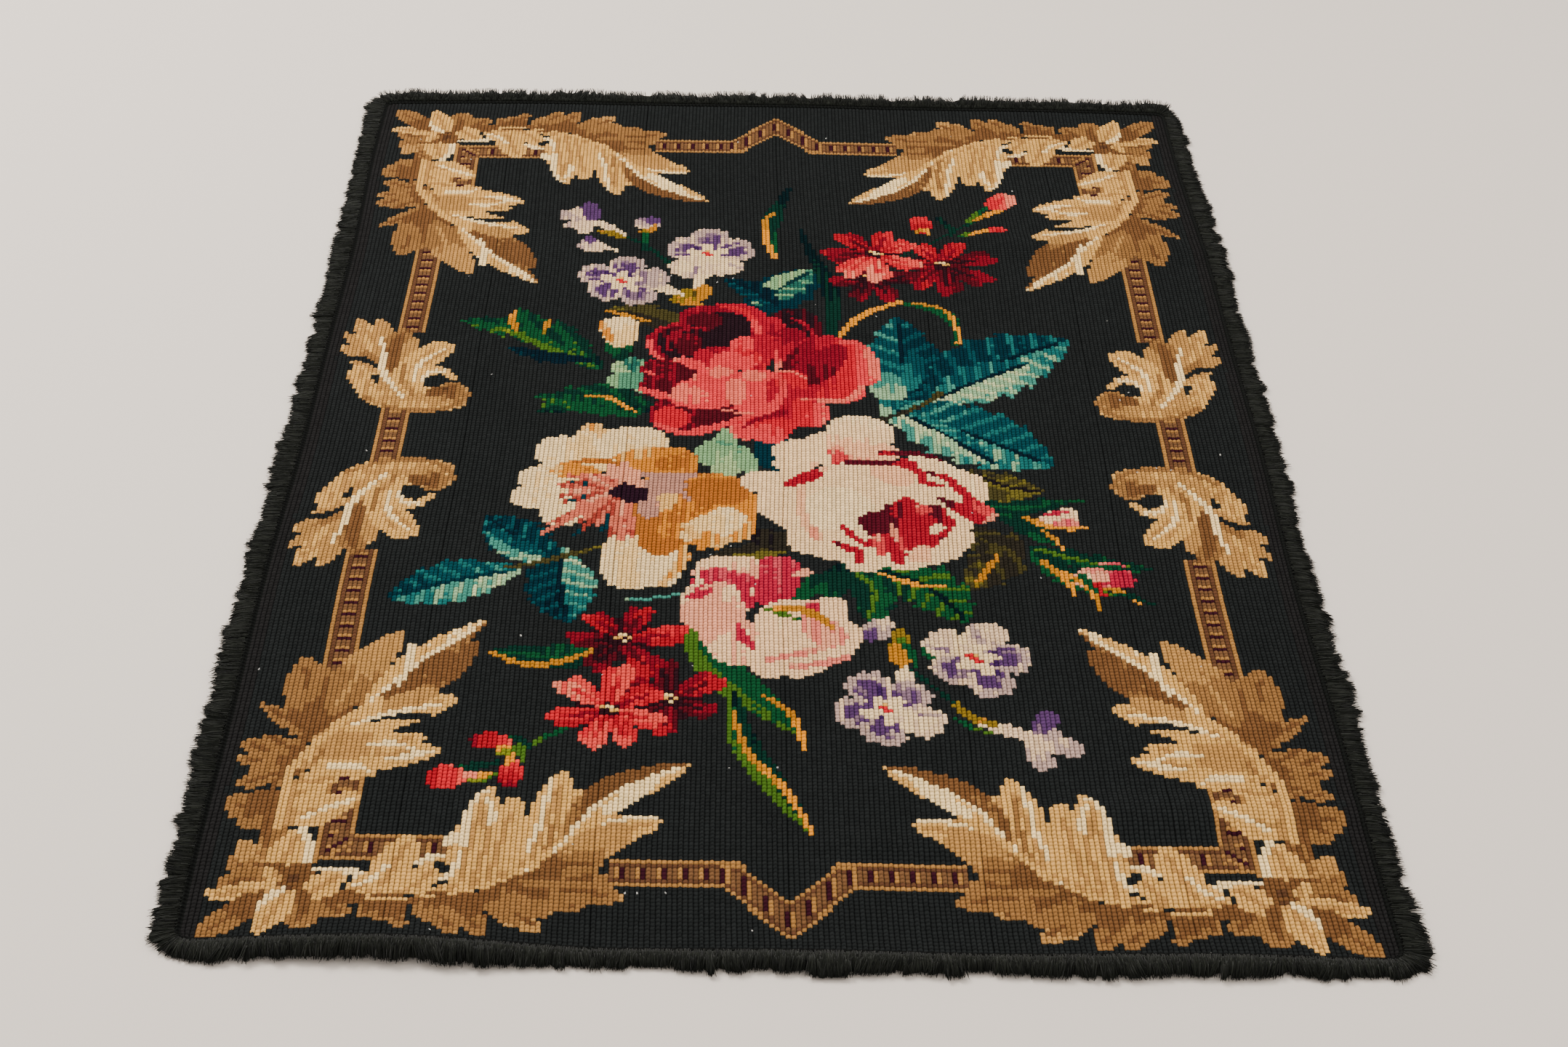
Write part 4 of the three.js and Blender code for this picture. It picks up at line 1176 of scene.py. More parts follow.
@dataclass(frozen=True)
class Lay:
    """How the flat cloth lies on the floor, the same as its solid, with fine ripples added.

    Attributes:
        waves: Its waves in its own plane.
        near_skew: Sag of the near edge's right end.
        far_bow: How far the far edge bows out.
        lifts: Places where it stands off the floor.
        middle: Place of its middle before the whole is centred.
        ripple: Height of the fine ripples.
        ripples: How closely the two sets of ripples follow each other, in radians a metre.
    """

    waves: tuple[Wave, ...] = (
        Wave(0, 1, 2.2 * MM, 1.3, 0.4),
        Wave(0, 1, 0.9 * MM, 3.6, 2.1),
        Wave(1, 0, 2.4 * MM, 0.9, 4.3),
        Wave(1, 0, 0.8 * MM, 3.1, 1.2),
    )
    near_skew: float = 5 * MM
    far_bow: float = 10 * MM
    lifts: tuple[Lift, ...] = (
        Lift(-0.330, -0.735, 0.200, 0.110, 3, 12 * MM),
        Lift(0.030, -0.732, 0.330, 0.062, 0, 5 * MM),
        Lift(0.330, -0.735, 0.230, 0.066, -2, 5.5 * MM),
        Lift(0.300, -0.545, 0.270, 0.034, 2, 5 * MM),
        Lift(0.150, -0.585, 0.210, 0.024, -3, 2.6 * MM),
        Lift(0.330, 0.378, 0.240, 0.042, -3, 3.6 * MM),
        Lift(-0.060, 0.402, 0.190, 0.034, 2, 1.8 * MM),
    )
    middle: tuple[float, float] = (0.04 * MM, 4.01 * MM)
    ripple: float = 0.28 * MM
    ripples: tuple[float, float] = (205.0, 131.0)

    def rounded(self, x: np.ndarray, y: np.ndarray) -> tuple[np.ndarray, np.ndarray]:
        """Draws the four corners in to a round.

        The square beyond each corner's start is pressed to a quarter disc, by the ratio of a
        place's larger side to its diagonal.

        Args:
            x: Places across the flat cloth, from its middle.
            y: Places along it.

        Returns:
            The places drawn in, x and y.
        """
        a = np.maximum(0.0, np.abs(x) - (HALF_X - CORNER))
        b = np.maximum(0.0, np.abs(y) - (HALF_Y - CORNER))
        press = 1 - np.maximum(a, b) / np.maximum(np.hypot(a, b), 1e-9)
        return x - np.sign(x) * a * press, y - np.sign(y) * b * press

    def place(self, x: np.ndarray, y: np.ndarray) -> tuple[np.ndarray, np.ndarray, np.ndarray]:
        """Where points of the flat cloth lie.

        Each wave adds a sine of the place along its axis; the near edge sags to the right by
        the square of the nearness, and the far edge bows by a parabola.

        Args:
            x: Places across the flat cloth, from its middle.
            y: Places along it.

        Returns:
            The x and y of the lying cloth and the height of its underside.
        """
        x, y = self.rounded(x, y)
        share = (x / HALF_X, y / HALF_Y)
        laid = [x, y]
        for wave in self.waves:
            run = share[wave.along] * math.pi * wave.turns + wave.phase
            laid[wave.shift] = laid[wave.shift] + wave.high * np.sin(run)
        near, far = np.maximum(0.0, -share[1]), np.maximum(0.0, share[1])
        laid[1] = laid[1] - self.near_skew * near**2 * share[0]
        laid[1] = laid[1] + self.far_bow * far**2 * (1 - share[0] ** 2)
        lift = sum(spot.height(laid[0], laid[1]) for spot in self.lifts)
        rise = np.sin(laid[1] * self.ripples[0] + 2.2 * np.sin(laid[0] * 5.1))
        rise = rise + np.sin(laid[1] * self.ripples[1] + 7 * laid[0])
        calm = 0.5 + 0.5 * np.sin(laid[0] * 8.3 + 1.7) * np.sin(laid[1] * 6.1 + 0.6)
        lift = lift + self.ripple * calm * np.maximum(0.0, rise)
        return laid[0] - self.middle[0], laid[1] - self.middle[1], lift


LAY = Lay()


def new_mesh(
    name: str, verts: np.ndarray, corners: np.ndarray, starts: np.ndarray, smooth: int | None = None,
) -> bpy.types.Object:
    """Makes an object from arrays.

    Args:
        name: The piece's name.
        verts: (n, 3) places.
        corners: Vertex numbers of all faces, one face after the other.
        starts: Where each face begins in corners.
        smooth: Number of faces from the first that are smooth shaded, or None for all.

    Returns:
        The new object in the scene.
    """
    mesh = bpy.data.meshes.new(name)
    mesh.vertices.add(len(verts))
    mesh.vertices.foreach_set("co", np.ascontiguousarray(verts, np.float32).ravel())
    mesh.loops.add(len(corners))
    mesh.loops.foreach_set("vertex_index", corners.astype(np.int32))
    mesh.polygons.add(len(starts))
    mesh.polygons.foreach_set("loop_start", starts.astype(np.int32))
    mesh.update(calc_edges=True)
    mesh.validate()
    soft = np.arange(len(starts)) < (len(starts) if smooth is None else smooth)
    mesh.polygons.foreach_set("use_smooth", soft)
    piece = bpy.data.objects.new(name, mesh)
    bpy.context.scene.collection.objects.link(piece)
    return piece


def quads(ids: np.ndarray) -> np.ndarray:
    """Faces of a grid of vertex numbers, (cells, 4), turning left seen from its front."""
    return np.stack([ids[:-1, :-1], ids[:-1, 1:], ids[1:, 1:], ids[1:, :-1]], -1).reshape(-1, 4)


def set_map(piece: bpy.types.Object, name: str, uv: np.ndarray) -> None:
    """Gives the piece a UV map, one (u, v) for each face corner."""
    layer = piece.data.uv_layers.new(name=name)
    layer.uv.foreach_set("vector", np.ascontiguousarray(uv, np.float32).ravel())


def set_colours(piece: bpy.types.Object, name: str, colours: np.ndarray) -> None:
    """Gives the piece a colour attribute.

    Args:
        piece: The piece.
        name: The attribute's name.
        colours: One linear RGB for each face corner.
    """
    rgba = np.ones((len(colours), 4), np.float32)
    rgba[:, :3] = colours
    layer = piece.data.color_attributes.new(name, "FLOAT_COLOR", "CORNER")
    layer.data.foreach_set("color", rgba.ravel())


def set_places(piece: bpy.types.Object, name: str, places: np.ndarray) -> None:
    """Gives each of the piece's points a place for its finish to read."""
    layer = piece.data.attributes.new(name, "FLOAT_VECTOR", "POINT")
    layer.data.foreach_set("vector", places.astype(np.float32).ravel())


def dyed_with_painted_light(colour: np.ndarray) -> np.ndarray:
    """Linear colour of wool in a dye, with painted shade and a painted warm room light in it.

    It is the usual two-part curve from sRGB, then a power that is painted shade, a share warmed
    as painted light, and a haze for each of red, green and blue.

    Args:
        colour: (n, 3) sRGB colours, or one.

    Returns:
        The linear colours.
    """
    linear = np.where(colour <= 0.04045, colour / 12.92, ((colour + 0.055) / 1.055) ** 2.4)
    return linear**SELF_SHADE_POWER * SHARE_UNDER_WARM_LIGHT + HAZE


# The stitched face
@dataclass
class StitchedFace:
    """The wool cross-stitches, in lengthwise strips so that each keeps its fine detail.

    Attributes:
        chart: The stitch chart.
        border: Stitches at each edge that the turned edge covers.
        strips: Number of strips.
        base: Height of the canvas under the stitches.
        deep: Height of the holes at a stitch's corners.
        between_rows: Share of the stitch's height that is left between rows.
        between_columns: The same between columns.
        stagger: How far a column's stitches stand past the next column's, in stitches.
        slant: How far the gap between two rows leans to the right, in stitches.
        pressed: Share of its height that the stitching keeps at the rug's rim.
        uneven: Least and greatest unevenness of a point's share, as a share of it.
        floor_step: Stitches between the lines of a strip's underside, across and along.
        folds: Parts that a strip's map is cut into, side by side.
        pieces: The strips, once they are built.
    """

    chart: Chart
    border: int = 1
    strips: int = 6
    base: float = 1.7 * MM
    deep: float = 2.0 * MM
    between_rows: float = 0.36
    between_columns: float = 0.1
    stagger: float = 0.11
    slant: float = 0.1
    pressed: float = 0.55
    uneven: tuple[float, float] = (-0.14, 0.10)
    floor_step: tuple[int, int] = (6, 2)
    folds: int = 3
    pieces: list[bpy.types.Object] = field(default_factory=list)

    def half_grid(self) -> np.ndarray:
        """Places of the whole face's points, at every half stitch.

        The height of a point is that of the hole, raised by the share of its kind (stitch
        middle, between rows, between columns, hole) with a little unevenness from stitch to
        stitch; points wander in the plane by a few hundredths of a stitch.

        Returns:
            (2 rows + 1, 2 columns + 1, 3) places.
        """
        rng = np.random.default_rng(7)
        rows, columns = 2 * ROWS + 1, 2 * COLUMNS + 1
        j, i = np.meshgrid(np.arange(rows), np.arange(columns), indexing="ij")
        odd_i, odd_j = i % 2 == 1, j % 2 == 1
        share = np.where(odd_i & odd_j, 1.0, 0.0)
        share = np.where(odd_i & ~odd_j, self.between_rows, share)
        share = np.where(~odd_i & odd_j, self.between_columns, share)
        share = share * (1 + rng.uniform(*self.uneven, share.shape))
        wander = rng.normal(0, 0.035, (2, rows, columns))
        inside = (i > 0) & (i < columns - 1) & (j > 0) & (j < rows - 1)
        column_wander = rng.normal(0, 0.03, (1, columns))
        stagger = np.where(i % 4 == 1, self.stagger, -self.stagger)
        stagger = stagger + rng.normal(0, 0.05, (1, columns))
        x = i / 2 + (wander[0] + column_wander + np.where(odd_i & ~odd_j, self.slant, 0)) * inside
        y = j / 2 + (wander[1] + np.where(odd_i, stagger, 0)) * inside
        x, y = x * STITCH - HALF_X, y * STITCH - HALF_Y
        laid_x, laid_y, lift = LAY.place(x, y)
        edge = np.minimum(np.minimum(i, columns - 1 - i), np.minimum(j, rows - 1 - j)) / 2
        fall = np.clip((edge - self.border) / 1.2, 0, 1)
        height = self.deep + (THICK - self.deep) * share
        height = self.base + (height - self.base) * (self.pressed + (1 - self.pressed) * fall)
        return np.stack([laid_x, laid_y, lift + height], -1)

    def build(self) -> None:
        """Builds every strip with its map, its dyes and its stitch places."""
        grid = self.half_grid()
        last = COLUMNS - self.border
        cuts = np.rint(np.linspace(self.border, last, self.strips + 1)).astype(int)
        for number, (start, stop) in enumerate(zip(cuts[:-1], cuts[1:]), 1):
            self.pieces.append(self.strip(f"stitches_{number}", grid, int(start), int(stop)))

    def strip(self, name: str, grid: np.ndarray, start: int, stop: int) -> bpy.types.Object:
        """One strip: its stitches on top, a coarse underside and walls, closed.

        Args:
            name: The piece's name.
            grid: Places of the whole face at every half stitch.
            start: The strip's first column.
            stop: The column after its last.

        Returns:
            The piece.
        """
        low, high = self.border, ROWS - self.border
        top = grid[2 * low : 2 * high + 1, 2 * start : 2 * stop + 1]
        rows, columns = top.shape[:2]
        ids = np.arange(rows * columns).reshape(rows, columns)
        step = 2 * self.floor_step[1]
        js = np.append(np.arange(0, rows - step // 2, step), rows - 1)
        gap = max(1, round((columns - 1) / (2 * self.floor_step[0])))
        cut = np.rint(np.linspace(0, columns - 1, gap + 1)).astype(int)
        flat_x = (cut / 2 + start) * STITCH - HALF_X
        flat_y = (js / 2 + low) * STITCH - HALF_Y
        floor_y, floor_x = np.meshgrid(flat_y, flat_x, indexing="ij")
        x, y, lift = LAY.place(floor_x, floor_y)
        under = np.stack([x, y, lift + self.base], -1)
        under_ids = rows * columns + np.arange(len(js) * len(cut)).reshape(len(js), len(cut))
        faces_top = quads(ids)
        faces_under = quads(under_ids)[:, ::-1]
        walls: list[np.ndarray] = []
        for a, b, c0, c1 in zip(cut[:-1], cut[1:], range(gap), range(1, gap + 1)):
            walls.append(np.r_[under_ids[0, c0], under_ids[0, c1], ids[0, a : b + 1][::-1]])
            walls.append(np.r_[under_ids[-1, c1], under_ids[-1, c0], ids[-1, a : b + 1]])
        for a, b, r0, r1 in zip(js[:-1], js[1:], range(len(js) - 1), range(1, len(js))):
            walls.append(np.r_[under_ids[r0, -1], under_ids[r1, -1], ids[a : b + 1, -1][::-1]])
            walls.append(np.r_[under_ids[r1, 0], under_ids[r0, 0], ids[a : b + 1, 0]])
        sizes = np.r_[np.full(len(faces_top) + len(faces_under), 4), [len(w) for w in walls]]
        corners = np.concatenate([faces_top.ravel(), faces_under.ravel(), *walls])
        verts = np.concatenate([top.reshape(-1, 3), under.reshape(-1, 3)])
        starts = np.r_[0, np.cumsum(sizes)[:-1]]
        piece = new_mesh(name, verts, corners, starts, smooth=len(faces_top))
        self.dress(piece, corners, (rows, columns), (low, start), (js, cut))
        return piece

    def dress(
        self, piece: bpy.types.Object, corners: np.ndarray, grid: tuple[int, int],
        first: tuple[int, int], lines: tuple[np.ndarray, np.ndarray],
    ) -> None:
        """Adds the strip's dyes, stitch places and map.

        The map lays the strip's face in folds side by side, and its underside and walls in a
        narrow band over them.

        Args:
            piece: The strip.
            corners: Vertex numbers of all its faces.
            grid: Rows and columns of points on its face.
            first: Row and column of the chart where it starts.
            lines: Rows and columns of points that its underside has.
        """
        rows, columns = grid
        low, start = first
        js, cut = lines
        tops = (rows - 1) * (columns - 1)
        wide, long = (columns - 1) // 2, (rows - 1) // 2
        face_row = np.repeat(np.arange(rows - 1), columns - 1) // 2
        face_column = np.tile(np.arange(columns - 1), rows - 1) // 2
        # The stitches' colours carry the dyes' painted shade and painted warm light
        dye = dyed_with_painted_light(DYES[self.chart.ink[face_row + low, face_column + start]])
        loops = np.tile(dyed_with_painted_light(DYES[FIRST_DYE[Wool.GROUND]]), (len(corners), 1))
        loops[: 4 * tops] = np.repeat(dye, 4, 0)
        set_colours(piece, "Dye", loops)
        tall = math.ceil(long / self.folds)
        fold = np.repeat(face_row // tall, 4)
        top_corners = corners[: 4 * tops]
        across = (top_corners % columns) / 2 + fold * (wide + 1) + 0.5
        along = (top_corners // columns) / 2 - fold * tall + 0.5
        uv = np.zeros((len(corners), 2))
        uv[: 4 * tops, 0] = across / (self.folds * (wide + 1))
        uv[: 4 * tops, 1] = 0.975 * along / (tall + 1)
        rest = corners[4 * tops :]
        under = rest >= rows * columns
        spot = np.where(under, rest - rows * columns, 0)
        j = np.where(under, js[spot // len(cut)], rest // columns)
        i = np.where(under, cut[spot % len(cut)], rest % columns)
        uv[4 * tops :, 0] = 0.002 + 0.996 * j / rows
        uv[4 * tops :, 1] = 0.98 + 0.018 * (i / columns) - np.where(under, 0.0, 0.002)
        set_map(piece, "OFBake", uv)
        numbers = np.arange(rows * columns)
        places = np.zeros((len(piece.data.vertices), 3))
        places[: rows * columns, 0] = (numbers % columns) / 2 + start
        places[: rows * columns, 1] = (numbers // columns) / 2 + low
        set_places(piece, "stitch_place", places)


# The canvas
@dataclass
class Canvas:
    """The canvas under the stitches: one thin closed sheet with its edges turned and bound.

    Attributes:
        step: Stitches between its lines across and along; folds run across, so the lines
            along are the closer ones.
        thin: Its thickness under the stitches.
        clear: Room under it.
        roll: Insets and heights of the turned edge's round section, from outside to inside,
            in millimetres.
        tuck: Inset of the loop where the roll meets the floor.
        edge_lines: Places of the lines next to the roll, as shares of the half size.
        inner: Place of the outermost evenly spaced line, the same way.
        piece: The sheet, once it is built.
    """

    step: tuple[int, int] = (6, 2)
    thin: float = 1.25 * MM
    clear: float = 0.12 * MM
    roll: tuple[tuple[float, float], ...] = (
        (0.0, 1.2), (0.0, 2.6), (0.5, 3.6), (1.6, 4.15), (3.0, 4.05), (4.4, 3.3), (6.0, 1.3),
    )
    tuck: float = 1.2 * MM
    edge_lines: tuple[float, float, float] = (0.98, 0.99, 1.0)
    inner: float = 0.97
    piece: bpy.types.Object | None = None

    def build(self) -> None:
        """Builds the sheet: an underside and a top over the same lines, joined by the roll.

        Lines run every few stitches; near the rim they are replaced by loops that follow the
        rim at the roll's insets, each at the roll's height over the lift.
        """
        corner = np.array(self.edge_lines)
        lines: list[np.ndarray] = []
        for count in (ROWS // self.step[1] + 1, COLUMNS // self.step[0] + 1):
            even = np.linspace(-self.inner, self.inner, count)
            lines.append(np.concatenate([-corner[::-1], even, corner]))
        inset = self.roll[-1][0] * MM
        gy, gx = np.meshgrid(*lines, indexing="ij")
        ids = np.arange(gx.size).reshape(gx.shape)
        rim = np.concatenate([ids[0, :-1], ids[:-1, -1], ids[-1, :0:-1], ids[:0:-1, 0]])
        rings: list[np.ndarray] = []
        flat: list[np.ndarray] = []

        def laid(shrink: float, height: float, pick: np.ndarray | None) -> np.ndarray:
            """Lays the grid's points on the floor, and notes their flat places.

            Args:
                shrink: How far the grid's rim stands in from the cloth's.
                height: Height over the cloth's underside.
                pick: Numbers of the points that are laid, or None for all.

            Returns:
                (n, 3) places.
            """
            x = gx * (HALF_X - shrink)
            y = gy * (HALF_Y - shrink)
            if pick is not None:
                x, y = x.ravel()[pick], y.ravel()[pick]
            px, py, lift = LAY.place(x, y)
            flat.append(np.stack([x.ravel(), y.ravel()], -1))
            return np.stack([px, py, lift + height], -1).reshape(-1, 3)

        under = laid(inset, self.clear, None)
        top = laid(inset, self.thin, None)
        rings.append(laid(self.tuck, self.clear, rim))
        for shrink, height in self.roll[:-1]:
            rings.append(laid(shrink * MM, height * MM, rim))
        verts = np.concatenate([under, top, *rings])
        count = gx.size
        loops = [rim]
        for number in range(len(rings)):
            loops.append(2 * count + number * len(rim) + np.arange(len(rim)))
        loops.append(rim + count)
        band = np.stack(loops)
        band = np.hstack([band, band[:, :1]])
        faces = np.concatenate([quads(ids)[:, ::-1], quads(ids + count), quads(band)])
        self.piece = new_mesh("canvas", verts, faces.ravel(), np.arange(len(faces)) * 4)
        places = np.ones((len(verts), 3))
        places[:, :2] = np.concatenate(flat) / STITCH + (COLUMNS / 2, ROWS / 2)
        places[:count, 2] = 0.0
        set_places(self.piece, "stitch_place", places)


# The fringe
class Side(Enum):
    """The rug's four sides, each with its outward direction."""

    NEAR = (0, -1)
    RIGHT = (1, 0)
    FAR = (0, 1)
    LEFT = (-1, 0)


@dataclass
class Fringe:
    """The cut wool fringe along one side: a dense brush of strands that leaves a heading.

    Its body is one closed strip with a round back and a torn outer edge, in tufts; loose
    strands lie over it and stand out past its edge.

    Attributes:
        side: The side that it is sewn to.
        length: Length of the strands past the cloth's edge.
        strands: Number of loose strands.
        crest: Height of its round back over the cloth's underside.
        tip: Height range of the tips.
        hang: Share of the cloth's lift that the tips keep.
        uneven: How much the tufts' length varies, as a share.
        tuft: Width of a tuft.
        lean: Sideways lean of a tuft, as a share of the length.
        thick: Thickness of a strand at its root.
        step: Width of a step of the body.
        seat: Height of the strands' roots over the cloth's underside.
        over: How far the roots reach in over the cloth's rolled rim.
        piece: The fringe, once it is built.
    """

    side: Side
    length: float
    strands: int
    crest: float
    tip: tuple[float, float]
    hang: float = 0.3
    uneven: float = 0.09
    tuft: float = 8 * MM
    lean: float = 0.16
    thick: float = 1.15 * MM
    step: float = 1.3 * MM
    seat: float = 4.5 * MM
    over: float = 2.6 * MM
    piece: bpy.types.Object | None = None

    def __post_init__(self) -> None:
        """Draws the tufts: where each begins, its lean and its length."""
        self.rng = np.random.default_rng(11 + list(Side).index(self.side))
        self.run = 2 * (HALF_X if self.side.value[1] else HALF_Y)
        count = int(self.run / self.tuft)
        self.cuts = np.sort(self.rng.uniform(0, 1, count))
        self.leans = self.rng.normal(0, self.lean, count + 1)
        self.lengths = 1 + self.rng.normal(0, self.uneven, count + 1)

    def rim(self, share: np.ndarray) -> tuple[np.ndarray, np.ndarray, np.ndarray]:
        """Rim of the lying cloth at shares of the side, from its start to its end.

        Args:
            share: Places from 0 to 1, turning left around the rug.

        Returns:
            (n, 2) points, (n, 2) outward normals and the heights of the cloth's underside.
        """
        ox, oy = self.side.value

        def at(s: np.ndarray) -> tuple[np.ndarray, np.ndarray, np.ndarray]:
            """The lying cloth's x, y and height at shares of the side."""
            t = 2 * s - 1
            return LAY.place(ox * HALF_X - oy * t * HALF_X, oy * HALF_Y + ox * t * HALF_Y)

        x, y, lift = at(share)
        near = 0.0005
        x0, y0, _ = at(np.maximum(share - near, 0))
        x1, y1, _ = at(np.minimum(share + near, 1))
        run = np.stack([x1 - x0, y1 - y0], -1)
        run /= np.linalg.norm(run, axis=1)[:, None]
        return np.stack([x, y], -1), np.stack([run[:, 1], -run[:, 0]], -1), lift

    def reach(self, share: np.ndarray) -> tuple[np.ndarray, np.ndarray, np.ndarray]:
        """Length and lean of the tufts at shares of the side.

        Args:
            share: Places from 0 to 1.

        Returns:
            The length in metres, the sideways lean as a share of it, and how deep in a
            tuft each place is, from 0 at its edge to 1 in its middle.
        """
        tuft = np.searchsorted(self.cuts, share)
        ends = np.concatenate([[0.0], self.cuts, [1.0]])
        inside = (share - ends[tuft]) / np.maximum(ends[tuft + 1] - ends[tuft], 1e-6)
        middle = 1 - np.abs(2 * inside - 1) ** 3
        slow = 1 + 0.07 * np.sin(share * 23 + 2) + 0.05 * np.sin(share * 61)
        upright = np.clip(np.minimum(share, 1 - share) / 0.02, 0, 1)
        return self.length * slow * self.lengths[tuft], self.leans[tuft] * upright, middle

    def back(self, t: np.ndarray, lift: np.ndarray, end: np.ndarray) -> np.ndarray:
        """Height of the brush's round back.

        It rises from its seat to the crest by a sine over the first fifth, and then
        falls to the tips' height by a power of the cosine of a quarter turn.

        Args:
            t: Shares of the length, 0 at the cloth.
            lift: Heights of the cloth's underside.
            end: Heights of the tips.

        Returns:
            The heights in metres.
        """
        top = 0.2
        rise = np.sin(0.5 * np.pi * np.clip(t / top, 0, 1))
        fall = np.cos(0.5 * np.pi * np.clip((t - top) / 0.8, 0, 1)) ** 0.8
        root = lift + self.seat + (self.crest - self.seat) * rise
        return end + (root - end) * fall

    def body(self) -> tuple[np.ndarray, np.ndarray, np.ndarray]:
        """The closed strip under the loose strands.

        Returns:
            Its vertices, their places in the brush and its faces.
        """
        count = int(self.run / self.step)
        share = np.linspace(0.0003, 0.9997, count)
        point, normal, lift = self.rim(share)
        tangent = np.stack([-normal[:, 1], normal[:, 0]], -1)
        length, lean, middle = self.reach(share)
        length = length * (0.74 + 0.16 * middle + self.rng.uniform(-0.07, 0.07, count))
        end = self.tip[0] + 0.45 * (self.tip[1] - self.tip[0]) + self.hang * lift
        top = np.array([0.0, 0.1, 0.22, 0.45, 0.7, 0.9, 1.0])
        t = np.concatenate([top, [0.97, 0.5, 0.0]])[None, :]
        z = self.back(t, lift[:, None], end[:, None])
        dip, rough, thick, gap = 1.3 * MM, 0.25, 1.2 * MM, 0.4 * MM
        z = z - (1 - middle)[:, None] * dip * np.sin(np.pi * np.clip(t, 0, 1) ** 0.7)
        z = z + self.rng.uniform(-rough, rough, z.shape) * MM * (t > 0.05)
        z[:, 7:] = np.minimum(z[:, 7:] - thick, lift[:, None] + thick)
        z[:, 9] = lift + gap
        z = np.maximum(z, 0.25 * MM)
        z[:, 6] = np.maximum(z[:, 6], z[:, 7] + 0.3 * MM)
        out = gap + (length[:, None] - gap) * t
        along = lean[:, None] * out * t
        verts = np.empty((count, t.shape[1], 3))
        verts[..., :2] = (
            point[:, None] + out[..., None] * normal[:, None] + along[..., None] * tangent[:, None]
        )
        verts[..., 2] = z
        ids = np.arange(count * t.shape[1]).reshape(count, -1)
        ring = np.concatenate([ids, ids[:, :1]], 1)
        fan = np.array([[0, 1, 8, 9], [1, 2, 3, 8], [3, 4, 7, 8], [4, 5, 6, 7]])
        faces = np.concatenate([quads(ring), ids[0][fan][:, ::-1], ids[-1][fan]])
        places = np.zeros((verts[..., 0].size, 3))
        places[:, 0] = np.repeat(share * self.run, t.shape[1])
        places[:, 1] = (out + 0 * t).ravel()
        return verts.reshape(-1, 3), places, faces

    def build(self) -> None:
        """Builds the body and the loose strands.

        A strand is a three-sided taper of three rings along the round back of the brush, at
        its own depth in it; past the body it goes on straight. Strands of a tuft share a
        lean and a length, and each adds a little of its own.
        """
        count, rng = self.strands, self.rng
        share = 0.0004 + 0.9992 * (np.arange(count) + rng.uniform(0, 1, count)) / count
        point, normal, lift = self.rim(share)
        tangent = np.stack([-normal[:, 1], normal[:, 0]], -1)
        length, lean, middle = self.reach(share)
        length = length * (0.9 + 0.1 * middle) * (1 + rng.normal(0, 0.06, count))
        length = np.clip(length, 0.6 * self.length, 1.25 * self.length)
        lean = lean + rng.normal(0, 0.09, count)
        depth = rng.uniform(0, 1, count) ** 1.7
        end = self.tip[0] + (self.tip[1] - self.tip[0]) * (1 - depth) + self.hang * lift
        start = rng.uniform(0.0, 0.5, count) * (rng.uniform(0, 1, count) < 0.6)
        t = start[:, None] + (1 - start[:, None]) * np.array([0.02, 0.5, 1.0])
        root = -self.over * rng.uniform(0.3, 1, count)[:, None]
        out = root + (length[:, None] - root) * t
        along = lean[:, None] * out * t
        half = self.thick / 2 * rng.uniform(0.75, 1.25, count)[:, None] * np.array([0.9, 1.0, 0.3])
        z = self.back(out / length[:, None], lift[:, None], end[:, None])
        z = z + (0.35 - 1.6 * depth[:, None]) * MM * (1 - t)
        z = np.maximum(z, half + 0.15 * MM)
        turn = rng.uniform(0, 2 * np.pi, count)[:, None, None] + np.arange(3) * 2 * np.pi / 3
        side, up = np.cos(turn) * half[..., None], np.sin(turn) * half[..., None]
        centre = point[:, None] + out[..., None] * normal[:, None]
        centre = centre + along[..., None] * tangent[:, None]
        verts = np.empty((count, 3, 3, 3))
        verts[..., :2] = centre[:, :, None] + side[..., None] * tangent[:, None, None]
        verts[..., 2] = z[:, :, None] + up
        places = np.empty((count, 3, 3, 3))
        places[..., 0] = (share * self.run)[:, None, None]
        places[..., 1] = out[:, :, None]
        places[..., 2] = rng.uniform(0.1, 1, count)[:, None, None]
        points_each = 9
        ids = np.arange(count * points_each).reshape(count, 3, 3)
        nxt = np.roll(ids, -1, 2)
        walls = np.stack([ids[:, :-1], nxt[:, :-1], nxt[:, 1:], ids[:, 1:]], -1).reshape(-1, 4)
        caps = np.concatenate([ids[:, 0, ::-1], ids[:, -1]])
        body, body_places, faces = self.body()
        faces = faces + count * points_each
        corners = np.concatenate([walls.ravel(), faces.ravel(), caps.ravel()])
        sizes = np.r_[np.full(len(walls) + len(faces), 4), np.full(len(caps), 3)]
        verts = np.concatenate([verts.reshape(-1, 3), body])
        name = "fringe_strands_" + self.side.name.lower()
        self.piece = new_mesh(name, verts, corners, np.r_[0, np.cumsum(sizes)[:-1]])
        set_places(self.piece, "strand_place", np.concatenate([places.reshape(-1, 3), body_places]))


